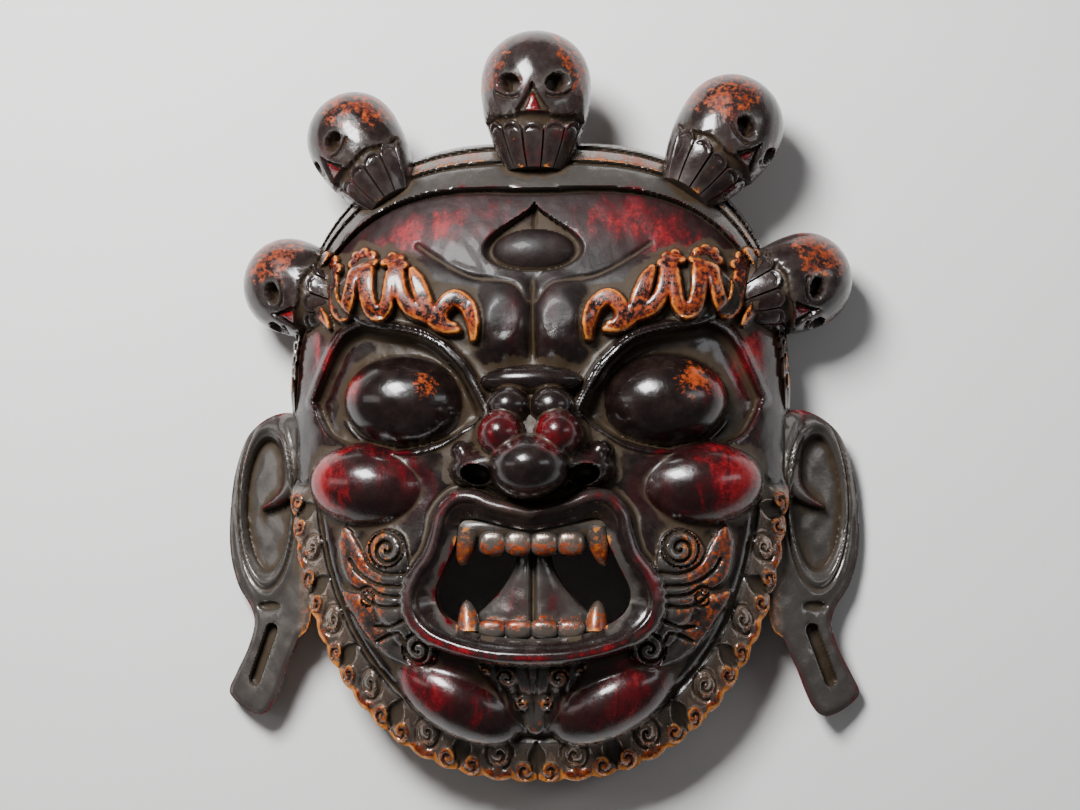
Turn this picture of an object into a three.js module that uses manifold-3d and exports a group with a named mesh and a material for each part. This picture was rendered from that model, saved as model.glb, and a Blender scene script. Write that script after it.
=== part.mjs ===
// A carved wooden mask of a wrathful guardian: one solid, hollow behind, lying on its back rim.
// Millimetres. +X is the viewer's right, +Y is up the face towards the crown, +Z comes out of the face.
// The origin is the centre of the footprint, on the plane that the rim rests on.
import * as THREE from 'three';
import Module from 'manifold-3d';
import { mergeVertices } from 'three/addons/utils/BufferGeometryUtils.js';

const wasm = await Module();
wasm.setup();

// Driving sizes of the shell
const headHalfWidth = 190;
const crownHeight = 216;
const chinDrop = 269;
const headCentreY = -12;
const crownFullness = 2.7;
const jawFullness = 2.4;
const rimDepth = 28;
const faceRise = 84;
const faceFullness = 0.6;
const wallThickness = 20;
const rimShare = 0.9;
const hollowSteepness = 0.07;
const samplePitch = 2.4;
const triangleBudget = 9900;

// Longer than anything on the mask is high, for prisms that cut right through
const tall = 2 * headHalfWidth;

// Crown band
const bandWidthTop = 45;
const bandRise = 8;
const bandGroove = 3.5;

// Beard strip along the jaw
const beardInnerShare = 0.885;
const beardWidth = 26;
const beardLevel = 66;
const beardFall = 19;
const beardRise = 7;
const beardPlate = 0.55;
const beardUnitLength = 57;
const beardGround = -0.5;
const beardScallopDepth = 3;
const beardStartY = -62;

// Eyes, cheeks, nose and chin are domes: centre, half-sizes, base level and rise
const eyeball = { x: 94, y: 0, rx: 48, ry: 36.5, base: 82, rise: 40, turn: 0.06 };
const eyeCorner = { x: 67, y: -3, rx: 27, ry: 20, base: 85, rise: 17, turn: -0.05 };
const orbitDepth = 13;
const cheek = { x: 117, y: -62, rx: 52, ry: 34, base: 76, rise: 42, turn: 0.1 };
const cheekRoot = { x: 84, y: -44, rx: 40, ry: 18, base: 88, rise: 17, turn: -0.5 };
const noseRoll = { x: 0, y: 13, rx: 37, ry: 11.5, base: 118, rise: 17 };
const noseBody = { x: 0, y: -32, rx: 44, ry: 46, base: 104, rise: 30 };
const noseWide = { x: 0, y: -49, rx: 49, ry: 20, base: 116, rise: 28 };
const noseKnob = { x: 15.5, y: -6.5, rx: 16, ry: 14, base: 128, rise: 17 };
const noseBall = { x: 20.5, y: -27, rx: 17.5, ry: 17, base: 132, rise: 24 };
const noseTip = { x: 0, y: -51, rx: 29, ry: 24, base: 132, rise: 36 };
const noseWing = { x: 40, y: -50, rx: 21, ry: 15, base: 108, rise: 27, turn: -0.12 };
const wingKnob = { x: 50, y: -38, rx: 9, ry: 8, base: 114, rise: 14 };
const nostril = { x: 39, y: -56, rx: 12, ry: 7.5, depth: 24, turn: 0.15 };
const frownLobe = { x: 20, y: 57, rx: 24, ry: 35, base: 100, rise: 23, turn: 0.06 };
const browMuscle = { x: 68, y: 71, rx: 80, ry: 34, base: 91, rise: 20, turn: 0.17 };
const muzzle = { x: 0, y: -128, rx: 122, ry: 86, base: 78, rise: 42 };
const chinBall = { x: 56, y: -218, rx: 52, ry: 28, base: 66, rise: 36, turn: 0.5 };

// Third eye: a pointed recess with an eyeball in it
const thirdEye = { y: 112, halfWidth: 38, up: 37, down: 18, depth: 9 };
const thirdEyeball = { x: 0, y: 111, rx: 31, ry: 17.5, base: 90, rise: 14 };

// Mouth: half outline of the lips' ridge and of the opening, from the top middle to the bottom middle
const lipOutline = [
  [0, -84], [27, -78], [42, -72], [56, -73], [66, -84], [69, -98], [74, -113], [84, -127],
  [90, -143], [87, -159], [74, -172], [51, -181], [25, -186], [0, -187],
];
const openingOutline = [
  [0, -96], [23, -92], [42, -87], [52, -90], [56, -105], [64, -123], [71, -139], [68, -153],
  [56, -163], [34, -171], [0, -174],
];
const lipLevel = 130;
const lipSideDrop = 16;
const lipRidge = 7;
const lipFunnelSlope = 0.9;

// Teeth, gums and tongue
const gumRadius = 9.5;
const upperGum = { y: -93.5, halfWidth: 62, level: 101 };
const lowerGum = { y: -175, halfWidth: 66, level: 99 };
const incisor = { pitch: 18.8, rx: 10.2, ry: 9.6, rz: 8.4, level: 104.5, count: 4 };
const upperIncisorY = -105;
const lowerIncisorY = -166;
const canine = { x: 46, upper: 28, lower: 23, radius: 8.5, lean: 5 };
const tongue = { baseY: -178, topY: -100, flareY: -113, wideY: -155, baseHalf: 40, topHalf: 12.5, thickness: 17, level: 94, groove: 6 };

// Flame brow, right side: strokes as [x, y, half-width] and the round lobes at their tops
const browRise = 10.5;
const browMargin = 0.4;
const browStrokes = [
  [[42, 44, 3], [42.5, 56, 5], [47, 68, 6], [56, 73.5, 6.5], [64, 68, 6], [66, 60, 5], [62, 54, 4], [57, 53, 3]],
  [[54, 50, 2.5], [62, 51, 4], [70, 56, 5.5], [76, 65, 6], [80, 76, 6.5], [84, 87, 5.5], [88, 95, 3]],
  [[76, 60, 5], [88, 66, 6], [95, 76, 5.5], [98, 88, 5.5], [100, 98, 6], [104, 103, 5]],
  [[103, 92, 5], [105, 78, 5], [107, 68, 5.5], [113, 63, 6], [119, 68, 6], [122, 80, 6], [123, 92, 6.5],
    [125, 102, 7], [130, 106, 6]],
  [[131, 98, 5.5], [134, 84, 5], [137, 72, 5.5], [142, 65, 5.5], [148, 71, 5.5], [151, 84, 5.5], [154, 95, 6.5],
    [158, 103, 7], [164, 106, 6]],
  [[163, 98, 6], [170, 103, 6], [176, 103, 6], [179, 96, 5]],
  [[170, 97, 6], [169, 84, 5], [164, 72, 4.5], [157, 62, 3], [154, 57, 1.5]],
];
const browLobes = [
  [95, 99, 4], [98.5, 105, 4], [104.5, 107, 4], [109, 102, 3.5], [118, 103, 4], [121, 109, 4.3], [127, 112, 4.3],
  [133, 110, 4.3], [136, 104, 4], [149, 102, 4.2], [153, 109, 4.4], [159, 112, 4.4], [165, 111, 4.4],
  [168, 106, 4], [174, 109, 4.2], [180, 106, 4.2], [183, 99, 4],
];

// Frown line over the brow, right side
const frownLine = [[86, 116], [64, 100], [46, 91], [28, 88], [13, 84], [4, 72]];
const frownDepth = 3;

// Upper eyelid fold and the lower edge of the eye's recess, right side
const lidFold = [
  [34, -10], [49, 19], [62, 34], [75, 43.5], [91, 49], [116, 54], [129, 56], [141, 51], [150, 40], [159, 22], [168, 3],
];
const orbitLower = [[168, 3], [162, -12], [152, -26], [128, -35], [98, -37.5], [66, -31], [46, -20], [34, -10]];
const lidHalf = 8.5;
const lidEdge = 5.5;
const lidRise = { outer: 3, inner: 9, from: 122, over: 45 };

// Whiskers beside the mouth: scrolls and strands, right side
const whiskerRise = 5.5;
const whiskerGroove = { half: 2.2, depth: 3 };
const whiskerOutline = [
  [107, -94], [118, -98], [124, -107], [127, -109], [130, -100], [135, -95], [141, -92], [145, -101], [145, -113],
  [142, -126], [136, -134], [127, -139], [132, -141], [143, -139], [141, -148], [134, -158], [129, -166], [123, -174],
  [109, -187], [100, -191], [84, -196], [73, -191], [70, -182], [75, -171], [90, -160], [93, -142], [90, -126],
  [91, -112], [94, -101], [99, -96],
];
const whiskerGrooves = [
  [[133, -97], [127, -107], [122, -118], [115, -124], [105, -127], [91, -126]],
  [[136, -116], [131, -124], [122, -131], [111, -135], [93, -136]],
  [[128, -138], [122, -136], [114, -141], [105, -143], [93, -143]],
  [[128, -141], [120, -148], [107, -151], [93, -149]],
  [[117, -165], [105, -165], [92, -159]],
  [[116, -176], [108, -172], [99, -170], [96, -175]],
];

// Ears: x is counted outwards from the head's side. Outline, slope of the ear's plane, and its carving
const earOutline = [
  [-18, -20], [-4, -5], [10, -3], [26, -10], [39, -23], [48, -48], [52, -82], [51, -110], [44, -134], [33, -151],
  [30, -164], [35, -182], [44, -200], [50.5, -214], [46, -222], [34, -230], [22, -232], [13, -222],
  [3, -197], [-6, -176], [-18, -150],
];
const earRoot = -8;
const earRootLevel = 42;
const earSlope = 0.46;
const earThickness = 13;
const earShell = { x: 20, y: -73, rx: 20, ry: 54, depth: 9 };
const earGrooveShare = 1.2;
const earGrooveDepth = 3.2;
const earRimSwell = 3.5;
const earHookSwell = 5.5;
const earGrooveStart = -12;
const earHook = [[-1, -12, 12], [-1.5, -30, 10.5], [-2, -46, 9.5], [2, -60, 7], [11, -69, 4.5], [23, -75, 2]];
const earSlot = { top: [15, -168], bottom: [29, -206], half: 4.5, depth: 8 };
const lobeCut = { x: 17, y: -150, rx: 11, ry: 4.5, depth: 4 };

// Skulls on the crown: size, and for each its side, its angle round the crown, how far it stands out of
// the edge, its level, the tilt of its axis, the turn and lean of its face, and its size
const skullHalfWidth = 41.5;
const skullTop = 54;
const skullBottom = 54;
const skullDepthShare = 0.95;
const skulls = [
  { side: 1, round: 0, stand: 24, level: 72, tilt: 0, turn: 0, lean: 0.04, size: 1 },
  { side: 1, round: 0.585, stand: 28.7, level: 58, tilt: 0.58, turn: 0.85, lean: 0.2, size: 0.97 },
  { side: -1, round: 0.577, stand: 20.8, level: 57, tilt: 0.55, turn: 0.9, lean: 0.2, size: 0.9 },
  { side: 1, round: 1.078, stand: 9.7, level: 45, tilt: 1.2, turn: 0.85, lean: 0.35, size: 0.9 },
  { side: -1, round: 1.055, stand: -0.3, level: 45, tilt: 1.2, turn: 0.85, lean: 0.35, size: 0.9 },
];
const skullSocket = { s: 19.5, y: 6, rx: 10, ry: 7.8, depth: 15 };
const skullNose = { top: 6, bottom: -15, half: 14, depth: 5 };
const skullJawLine = -16;
const skullJawStep = 5;
const skullPlateTop = -22.5;
const skullPlateDrop = 9.5;
const skullPlatePitch = 21;

// Small shape functions

const clamp = (t) => Math.min(1, Math.max(0, t));
const smooth = (t) => clamp(t) ** 2 * (3 - 2 * clamp(t));

// The larger of two heights, rounded where they meet
function softMax(a, b, width) {
  const h = Math.max(0, 1 - Math.abs(a - b) / width);
  return Math.max(a, b) + (h * h * width) / 4;
}

// 0 at the middle of a turned ellipse and 1 on its edge
function share(x, y, form) {
  const c = Math.cos(form.turn ?? 0);
  const s = Math.sin(form.turn ?? 0);
  const dx = x - form.x;
  const dy = y - form.y;
  return Math.hypot((dx * c + dy * s) / form.rx, (dy * c - dx * s) / form.ry);
}

// Raises a height to a dome that stands on its own base level
function raised(z, x, y, form, width = 3) {
  const r = share(x, y, form);
  return r < 1 ? softMax(z, form.base + form.rise * Math.sqrt(1 - r * r), width) : z;
}

// Nearest distance from a point to a line of points; far outside its box it is only known to be large
const far = 30;

function reachOf(line, margin) {
  const xs = line.map((p) => p[0]);
  const ys = line.map((p) => p[1]);
  return [Math.min(...xs) - margin, Math.max(...xs) + margin, Math.min(...ys) - margin, Math.max(...ys) + margin];
}

function distanceToLine(x, y, line) {
  line.box ??= reachOf(line, far);
  const [lowX, highX, lowY, highY] = line.box;
  if (x < lowX || x > highX || y < lowY || y > highY) return far;
  let best = Infinity;
  for (let i = 1; i < line.length; i += 1) {
    const [ax, ay] = line[i - 1];
    const bx = line[i][0] - ax;
    const by = line[i][1] - ay;
    const t = clamp(((x - ax) * bx + (y - ay) * by) / (bx * bx + by * by));
    const dx = x - ax - t * bx;
    const dy = y - ay - t * by;
    best = Math.min(best, dx * dx + dy * dy);
  }
  return Math.sqrt(best);
}

// A smooth line through points, as a list of [x, y]
function smoothLine(points, steps) {
  const curve = new THREE.SplineCurve(points.map(([x, y]) => new THREE.Vector2(x, y)));
  return curve.getPoints(steps).map((p) => [p.x, p.y]);
}

// A stroke is a smooth line whose points also hold a half-width
function smoothStroke(points) {
  const parts = points.length - 1;
  return smoothLine(points, parts * 5).map(([x, y], i) => {
    const at = Math.min(parts - 1, Math.floor(i / 5));
    return [x, y, points[at][2] + (i / 5 - at) * (points[at + 1][2] - points[at][2])];
  });
}

function strokeDistance(x, y, line) {
  line.box ??= reachOf(line, far);
  const [lowX, highX, lowY, highY] = line.box;
  if (x < lowX || x > highX || y < lowY || y > highY) return far;
  return Math.min(...line.map(([px, py, half]) => Math.hypot(x - px, y - py) - half));
}

// A half outline, top middle to bottom middle, mirrored into a closed one
function mirroredOutline(half, steps) {
  const right = smoothLine(half, steps);
  const left = right.slice(1, -1).reverse().map(([x, y]) => [-x, y]);
  return [...right, ...left];
}

// Distance to a closed outline, negative inside
function signedDistance(x, y, outline) {
  outline.closed ??= [...outline, outline[0]];
  const d = distanceToLine(x, y, outline.closed);
  if (d >= far) return d;
  let inside = false;
  for (let i = 0, j = outline.length - 1; i < outline.length; j = i, i += 1) {
    const [ax, ay] = outline[i];
    const [bx, by] = outline[j];
    if (ay > y !== by > y && x < ((bx - ax) * (y - ay)) / (by - ay) + ax) inside = !inside;
  }
  return inside ? -d : d;
}

// The head: its outline share, the dome of the face and the hollow behind it

function headShare(x, y) {
  const up = y > headCentreY;
  const n = up ? crownFullness : jawFullness;
  const dy = Math.abs(y - headCentreY) / (up ? crownHeight : chinDrop);
  return ((Math.abs(x) / headHalfWidth) ** n + dy ** n) ** (1 / n);
}

function faceDome(x, y) {
  const inside = Math.max(0, 1 - headShare(x, y) ** 3);
  return rimDepth + faceRise * inside ** faceFullness;
}

function hollowHeight(x, y) {
  const r = headShare(x, y);
  const open = smooth((rimShare - r) / hollowSteepness);
  return Math.max(0, open * (faceDome(x, y) - wallThickness));
}

// Carvings of the face, each taking and returning a height; x is the distance from the middle

const lipLine = mirroredOutline(lipOutline, 40);
const openingLine = mirroredOutline(openingOutline, 36);
const lidLine = smoothLine(lidFold, 40);
const browLines = browStrokes.map(smoothStroke);
const frownCurve = smoothLine(frownLine, 20);
const orbitLine = [...lidLine, ...smoothLine(orbitLower, 30).slice(1, -1)];
const hookLine = smoothStroke(earHook);
const slotLine = [earSlot.top, earSlot.bottom];

function thirdEyeShare(x, y) {
  const dy = y - thirdEye.y;
  if (dy < 0) return Math.hypot(x / thirdEye.halfWidth, dy / thirdEye.down);
  const t = clamp(dy / thirdEye.up);
  const half = thirdEye.halfWidth * Math.cos((Math.PI / 2) * t) ** 1.5;
  return half > 0.01 ? x / half : 9;
}

function carveForehead(z, x, y) {
  let h = raised(z, x, y, browMuscle, 8);
  h = raised(h, x, y, frownLobe, 20);
  h -= frownDepth * Math.exp(-((distanceToLine(x, y, frownCurve) / 3) ** 2));
  const recess = smooth((1 - thirdEyeShare(x, y)) / 0.18);
  h -= recess * thirdEye.depth;
  return raised(h, x, y, thirdEyeball, 1.5);
}

function carveEye(z, x, y) {
  let h = z - orbitDepth * smooth((1 - signedDistance(x, y, orbitLine)) / 5);
  h = raised(h, x, y, eyeCorner, 8);
  h = raised(h, x, y, eyeball, 2);
  const { outer, inner, from, over } = lidRise;
  const fold = outer + (inner - outer) * smooth((from - x) / over);
  return h + fold * smooth((lidHalf - distanceToLine(x, y, lidLine)) / lidEdge);
}

function carveBrow(z, x, y) {
  const toStrokes = Math.min(...browLines.map((line) => strokeDistance(x, y, line)));
  const toLobes = Math.min(...browLobes.map(([cx, cy, radius]) => Math.hypot(x - cx, y - cy) - radius));
  return z + browRise * smooth((1.5 + browMargin - Math.min(toStrokes, toLobes)) / 3);
}

function carveNose(z, x, y) {
  let h = raised(z, x, y, noseBody, 10);
  h = raised(h, x, y, noseWide, 12);
  h = raised(h, x, y, noseRoll, 4);
  h = raised(h, x, y, noseKnob, 9);
  h = raised(h, x, y, wingKnob, 6);
  h = raised(h, x, y, noseWing, 10);
  h = raised(h, x, y, noseTip, 16);
  h = raised(h, x, y, noseBall, 9);
  return h - nostril.depth * smooth((1 - share(x, y, nostril)) / 0.4);
}

// The lips: a round ridge, falling steeply outside and as a funnel into the opening inside
function carveLips(z, x, y) {
  const d = signedDistance(x, y, lipLine);
  const level = lipLevel - lipSideDrop * (x / 90) ** 2;
  if (d > lipRidge) return z;
  if (d > 0) return Math.max(z, z + (level - z) * Math.sqrt(1 - (d / lipRidge) ** 2));
  return level - Math.max(0, -d - 2.5) * lipFunnelSlope;
}

// A round boss cut by a spiral groove, and a plain one, as heights from 0 to 1
function scrollRelief(x, y, cx, cy, radius, hand = 1) {
  const dx = (x - cx) * hand;
  const dy = y - cy;
  const r = Math.hypot(dx, dy);
  if (r > radius) return 0;
  const turns = r / (radius / 1.9) + Math.atan2(dy, dx) / (2 * Math.PI);
  const offGroove = Math.abs(turns - Math.floor(turns) - 0.5) * 2;
  return smooth((radius - r) / 2.5) * (1 - 0.75 * smooth((offGroove - 0.5) / 0.4));
}

function domeRelief(x, y, cx, cy, rx, ry) {
  const r = Math.hypot((x - cx) / rx, (y - cy) / ry);
  return r < 1 ? Math.sqrt(1 - r * r) : 0;
}

function carveWhiskers(z, x, y) {
  const d = signedDistance(x, y, whiskerOutline);
  if (d > 3) return z;
  const patch = smooth((1.5 - d) / 3);
  const nearest = Math.min(...whiskerGrooves.map((line) => distanceToLine(x, y, line)));
  const cut = whiskerGroove.depth * smooth((whiskerGroove.half - nearest) / whiskerGroove.half + 0.5);
  const upper = scrollRelief(x, y, 107, -109, 14);
  const lower = scrollRelief(x, y, 84, -182, 13, -1);
  return z + patch * (whiskerRise - cut) * (upper || lower ? 0.25 + 0.85 * Math.max(upper, lower) : 1);
}

// The tuft under the lip: a tapering patch with upright flames
const tuft = { top: -190, bottom: -246, half: 42, rise: 7, flame: 11 };

function carveTuft(z, x, y) {
  const t = (tuft.top - y) / (tuft.top - tuft.bottom);
  if (t < 0 || t > 1) return z;
  const half = tuft.half * (1 - t) ** 0.8 + 2;
  const flame = Math.abs((((x + t * 4) / tuft.flame) % 1) - 0.5) * 2;
  return z + smooth((half - x) / 4) * (tuft.rise - 3 * smooth((flame - 0.6) / 0.4));
}

// Crown band: three steps between the forehead and the head's top
function bandInnerShare(x, y) {
  const side = Math.atan2(Math.abs(x), Math.max(1e-6, y - headCentreY)) / (Math.PI / 2);
  const top = 1 - bandWidthTop / crownHeight;
  return top + (0.975 - top) * smooth(side * 1.12);
}

function carveBand(z, x, y) {
  if (y < headCentreY) return z;
  const inner = bandInnerShare(x, y);
  const t = (headShare(x, y) - inner) / (1 - inner);
  const lip = smooth((t + 0.02) / 0.06);
  const fade = smooth((y - headCentreY) / 30);
  const notch = (at) => Math.exp(-(((t - at) / 0.045) ** 2));
  const steps = 3 * smooth((t - 0.5) / 0.04) + 3 * smooth((t - 0.82) / 0.04);
  return z + fade * lip * (bandRise + steps - bandGroove * (notch(0.48) + notch(0.8)));
}

// Beard strip: raised from a groove, with curls along its edge
function beardAngle(x, y) {
  return Math.atan2(Math.abs(x) / headHalfWidth, (headCentreY - y) / chinDrop);
}

// Length along the jaw from the middle of the chin, for an angle of the beard
const jawTable = [0];
for (let i = 1; i <= 180; i += 1) {
  const [ax, ay] = jawPoint(i - 1);
  const [bx, by] = jawPoint(i);
  jawTable.push(jawTable[i - 1] + Math.hypot(bx - ax, by - ay));
}

function jawPoint(i) {
  const angle = (i / 180) * (Math.PI / 2);
  const dx = headHalfWidth * Math.sin(angle);
  const dy = -chinDrop * Math.cos(angle);
  const reach = 0.94 / headShare(dx, headCentreY + dy);
  return [dx * reach, headCentreY + dy * reach];
}

function jawLength(x, y) {
  const i = Math.min(179.99, (beardAngle(x, y) / (Math.PI / 2)) * 180);
  const low = Math.floor(i);
  return jawTable[low] + (i - low) * (jawTable[low + 1] - jawTable[low]);
}

// One unit of the beard: a flat plate with a scroll and a leaf outside it, a curl at each end of the plate,
// and a wedge-shaped recess at the joint to the next plate
function beardUnit(u, v) {
  const side = beardUnitLength / 2 - Math.abs(u);
  const inner = domeRelief(u, v, 0, 9, 9, 8.5);
  const leaf = domeRelief(u, v, 0, 22, 11, 6);
  const curl = domeRelief(side, v, 9, 18.5, 8.5, 8);
  const wedge = 1.2 + 6.3 * Math.sin(Math.PI * clamp(v / 21));
  const plate = beardPlate * smooth((side - wedge + 0.8) / 2.4);
  return Math.max(plate, 0.95 * inner, 0.85 * leaf, curl);
}

function carveBeard(z, x, y) {
  if (y > beardStartY + 14) return z;
  const r = headShare(x, y);
  const fade = smooth((beardStartY + 14 - y) / 22);
  const groove = Math.exp(-(((r - beardInnerShare + 0.012) / 0.014) ** 2));
  if (r < beardInnerShare) return z - fade * groove * 4;
  const along = jawLength(x, y) / beardUnitLength;
  const u = (along - Math.floor(along) - 0.5) * beardUnitLength;
  const v = ((r - beardInnerShare) / (1 - beardInnerShare)) * beardWidth;
  const strip = beardLevel - (beardFall * v) / beardWidth + beardGround + beardRise * beardUnit(u, v);
  return z + fade * (strip - z - groove * 4);
}

function faceHeight(x, y) {
  const ax = Math.abs(x);
  let z = faceDome(ax, y);
  z = carveBand(z, ax, y);
  z = carveBeard(z, ax, y);
  z = carveForehead(z, ax, y);
  z = raised(z, ax, y, muzzle, 14);
  z = carveWhiskers(z, ax, y);
  z = carveTuft(z, ax, y);
  z = raised(z, ax, y, chinBall, 8);
  z = raised(z, ax, y, cheekRoot, 9);
  z = carveEye(z, ax, y);
  z = raised(z, ax, y, cheek, 2);
  z = carveBrow(z, ax, y);
  z = carveNose(z, ax, y);
  return carveLips(z, ax, y);
}

// Solids

function solidOf(geometry) {
  const bare = geometry.clone();
  bare.deleteAttribute('normal');
  bare.deleteAttribute('uv');
  const merged = mergeVertices(bare, 1e-3);
  return new wasm.Manifold(
    new wasm.Mesh({
      numProp: 3,
      vertProperties: merged.attributes.position.array,
      triVerts: new Uint32Array(merged.index.array),
    }),
  );
}

// A block between two height functions, over a rectangle
function reliefBlock(lowX, highX, lowY, highY, top, bottom) {
  const nx = Math.ceil((highX - lowX) / samplePitch);
  const ny = Math.ceil((highY - lowY) / samplePitch);
  const grid = new THREE.BoxGeometry(highX - lowX, highY - lowY, 1, nx, ny, 1);
  grid.translate((lowX + highX) / 2, (lowY + highY) / 2, 0);
  const p = grid.attributes.position;
  for (let i = 0; i < p.count; i += 1) {
    const x = p.getX(i);
    const y = p.getY(i);
    p.setZ(i, p.getZ(i) > 0 ? top(x, y) : bottom(x, y));
  }
  return solidOf(grid);
}

// An upright prism of an outline
function prism(outline, low, high) {
  const shape = new THREE.Shape(outline.map(([x, y]) => new THREE.Vector2(x, y)));
  const geometry = new THREE.ExtrudeGeometry(shape, { depth: high - low, bevelEnabled: false });
  geometry.translate(0, 0, low);
  return solidOf(geometry);
}

function mirrored(outline) {
  return outline.map(([x, y]) => [-x, y]).reverse();
}

function ellipsoid(x, y, z, rx, ry, rz) {
  const ball = new THREE.SphereGeometry(1, 20, 14);
  ball.scale(rx, ry, rz);
  ball.translate(x, y, z);
  return solidOf(ball);
}

// The head's outline, scalloped along the beard
function headOutline(steps) {
  const points = [];
  for (let i = 0; i < steps; i += 1) {
    const angle = (i / steps) * 2 * Math.PI;
    const dx = Math.cos(angle);
    const dy = Math.sin(angle);
    const reach = 1 / headShare(dx, headCentreY + dy);
    const x = dx * reach;
    const y = headCentreY + dy * reach;
    const scalloped = smooth((beardStartY - y) / 12);
    const along = (jawLength(Math.abs(x), y) / beardUnitLength) * 3;
    const cut = scalloped * beardScallopDepth * (1 - Math.abs(Math.sin(along * Math.PI)));
    points.push([x - dx * cut, y - dy * cut]);
  }
  return points;
}

function makeShell() {
  const margin = 4;
  const top = headCentreY + crownHeight + margin;
  const bottom = headCentreY - chinDrop - margin;
  const side = headHalfWidth + margin;
  const block = reliefBlock(-side, side, bottom, top, faceHeight, hollowHeight);
  return block.intersect(prism(headOutline(540), -tall, tall)).subtract(prism(openingLine, -tall, tall));
}

// A gum is a bar with round sides across the opening; it bows towards the front at its middle
function makeGum(gum) {
  const points = [];
  for (let i = -4; i <= 4; i += 1) {
    const t = i / 4;
    points.push(new THREE.Vector3(t * gum.halfWidth, gum.y, gum.level + 8 * (1 - t * t)));
  }
  const ring = new THREE.Shape();
  ring.absellipse(0, 0, gumRadius * 1.5, gumRadius, 0, 2 * Math.PI);
  const bar = new THREE.ExtrudeGeometry(ring, {
    steps: 16,
    curveSegments: 8,
    extrudePath: new THREE.CatmullRomCurve3(points),
  });
  return solidOf(bar);
}

function makeIncisors(y) {
  const first = -((incisor.count - 1) / 2) * incisor.pitch;
  return Array.from({ length: incisor.count }, (_, i) => {
    const x = first + i * incisor.pitch;
    const bow = 1 - (x / upperGum.halfWidth) ** 2;
    return ellipsoid(x, y, incisor.level + 8 * bow, incisor.rx, incisor.ry, incisor.rz);
  });
}

// A canine: a curved horn, its tip down for the upper jaw and up for the lower one
function makeCanine(side, y, direction) {
  const length = direction < 0 ? canine.upper : canine.lower;
  const profile = [new THREE.Vector2(0, 0)];
  for (let i = 0; i <= 8; i += 1) {
    const t = i / 8;
    profile.push(new THREE.Vector2(canine.radius * (1 - t * t) + 0.01 * (i < 8), t * length));
  }
  const horn = new THREE.LatheGeometry(profile, 14);
  if (direction < 0) horn.rotateZ(Math.PI);
  horn.rotateX(-0.12 * direction);
  horn.rotateZ(direction < 0 ? side * 0.16 : 0);
  horn.translate(side * canine.x, y, upperGum.level + canine.lean);
  return solidOf(horn);
}

function tongueHalf(y) {
  const t = clamp((tongue.flareY - y) / (tongue.flareY - tongue.wideY));
  return tongue.topHalf + (tongue.baseHalf - tongue.topHalf) * t ** 1.8;
}

function makeTongue() {
  const steps = 16;
  const right = Array.from({ length: steps + 1 }, (_, i) => {
    const y = tongue.baseY + (i / steps) * (tongue.topY - tongue.baseY);
    return [tongueHalf(y), y];
  });
  const outline = [...right, ...mirrored(right)];
  const top = (x, y) => {
    const s = clamp(Math.abs(x) / tongueHalf(y));
    const groove = tongue.groove * Math.exp(-((x / 2.6) ** 2));
    return tongue.level + 9 * Math.sqrt(1 - s * s * 0.98) - groove;
  };
  const bottom = () => tongue.level - tongue.thickness;
  const [lowX, highX, lowY, highY] = reachOf(outline, 3);
  const block = reliefBlock(lowX, highX, lowY, highY, top, bottom);
  return block.intersect(prism(outline, -tall, tall));
}

// Ear: a sloping slab with a carved front, for side 1 or -1
function earPlane(x) {
  return earRootLevel - (x - earRoot) * earSlope;
}

function earHeight(x, y) {
  const r = share(x, y, earShell);
  const bowl = smooth((1 - r) / 0.12) * earShell.depth;
  const groove = earGrooveDepth * Math.exp(-(((r - earGrooveShare) / 0.07) ** 2)) * smooth((earGrooveStart - y) / 10);
  const toHook = strokeDistance(x, y, hookLine);
  const hook = earShell.depth * smooth((1 - toHook) / 3);
  const rim = earRimSwell * smooth((1.45 - r) / 0.3) * smooth((r - 1) / 0.1);
  const slot = earSlot.depth * smooth((earSlot.half - distanceToLine(x, y, slotLine)) / 1.5 + 0.5);
  const cut = lobeCut.depth * smooth((1 - share(x, y, lobeCut)) / 0.5);
  const swell = rim + earHookSwell * smooth((1 - toHook) / 9);
  return earPlane(x) - 1.5 + swell - Math.max(0, bowl - hook) - groove - slot - cut;
}

function makeEar(side) {
  const line = smoothLine([...earOutline, earOutline[0]], 90).slice(0, -1);
  const [lowX, highX, lowY, highY] = reachOf(line, 3);
  const block = reliefBlock(lowX, highX, lowY, highY, earHeight, (x) => earPlane(x) - earThickness);
  const ear = block.intersect(prism(line, -tall, tall)).translate([headHalfWidth, 0, 0]);
  return side > 0 ? ear : ear.mirror([1, 0, 0]);
}

// Skull: a turned egg with sockets, nose, jaw line and tooth plates, its face towards local +Z

function skullHalf(y) {
  const widest = 12;
  if (y > widest) return skullHalfWidth * Math.max(0, 1 - ((y - widest) / (skullTop - widest)) ** 2.2) ** 0.5;
  const t = (widest - y) / (widest + skullBottom);
  return skullHalfWidth * (1 - 0.48 * t ** 2);
}

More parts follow.
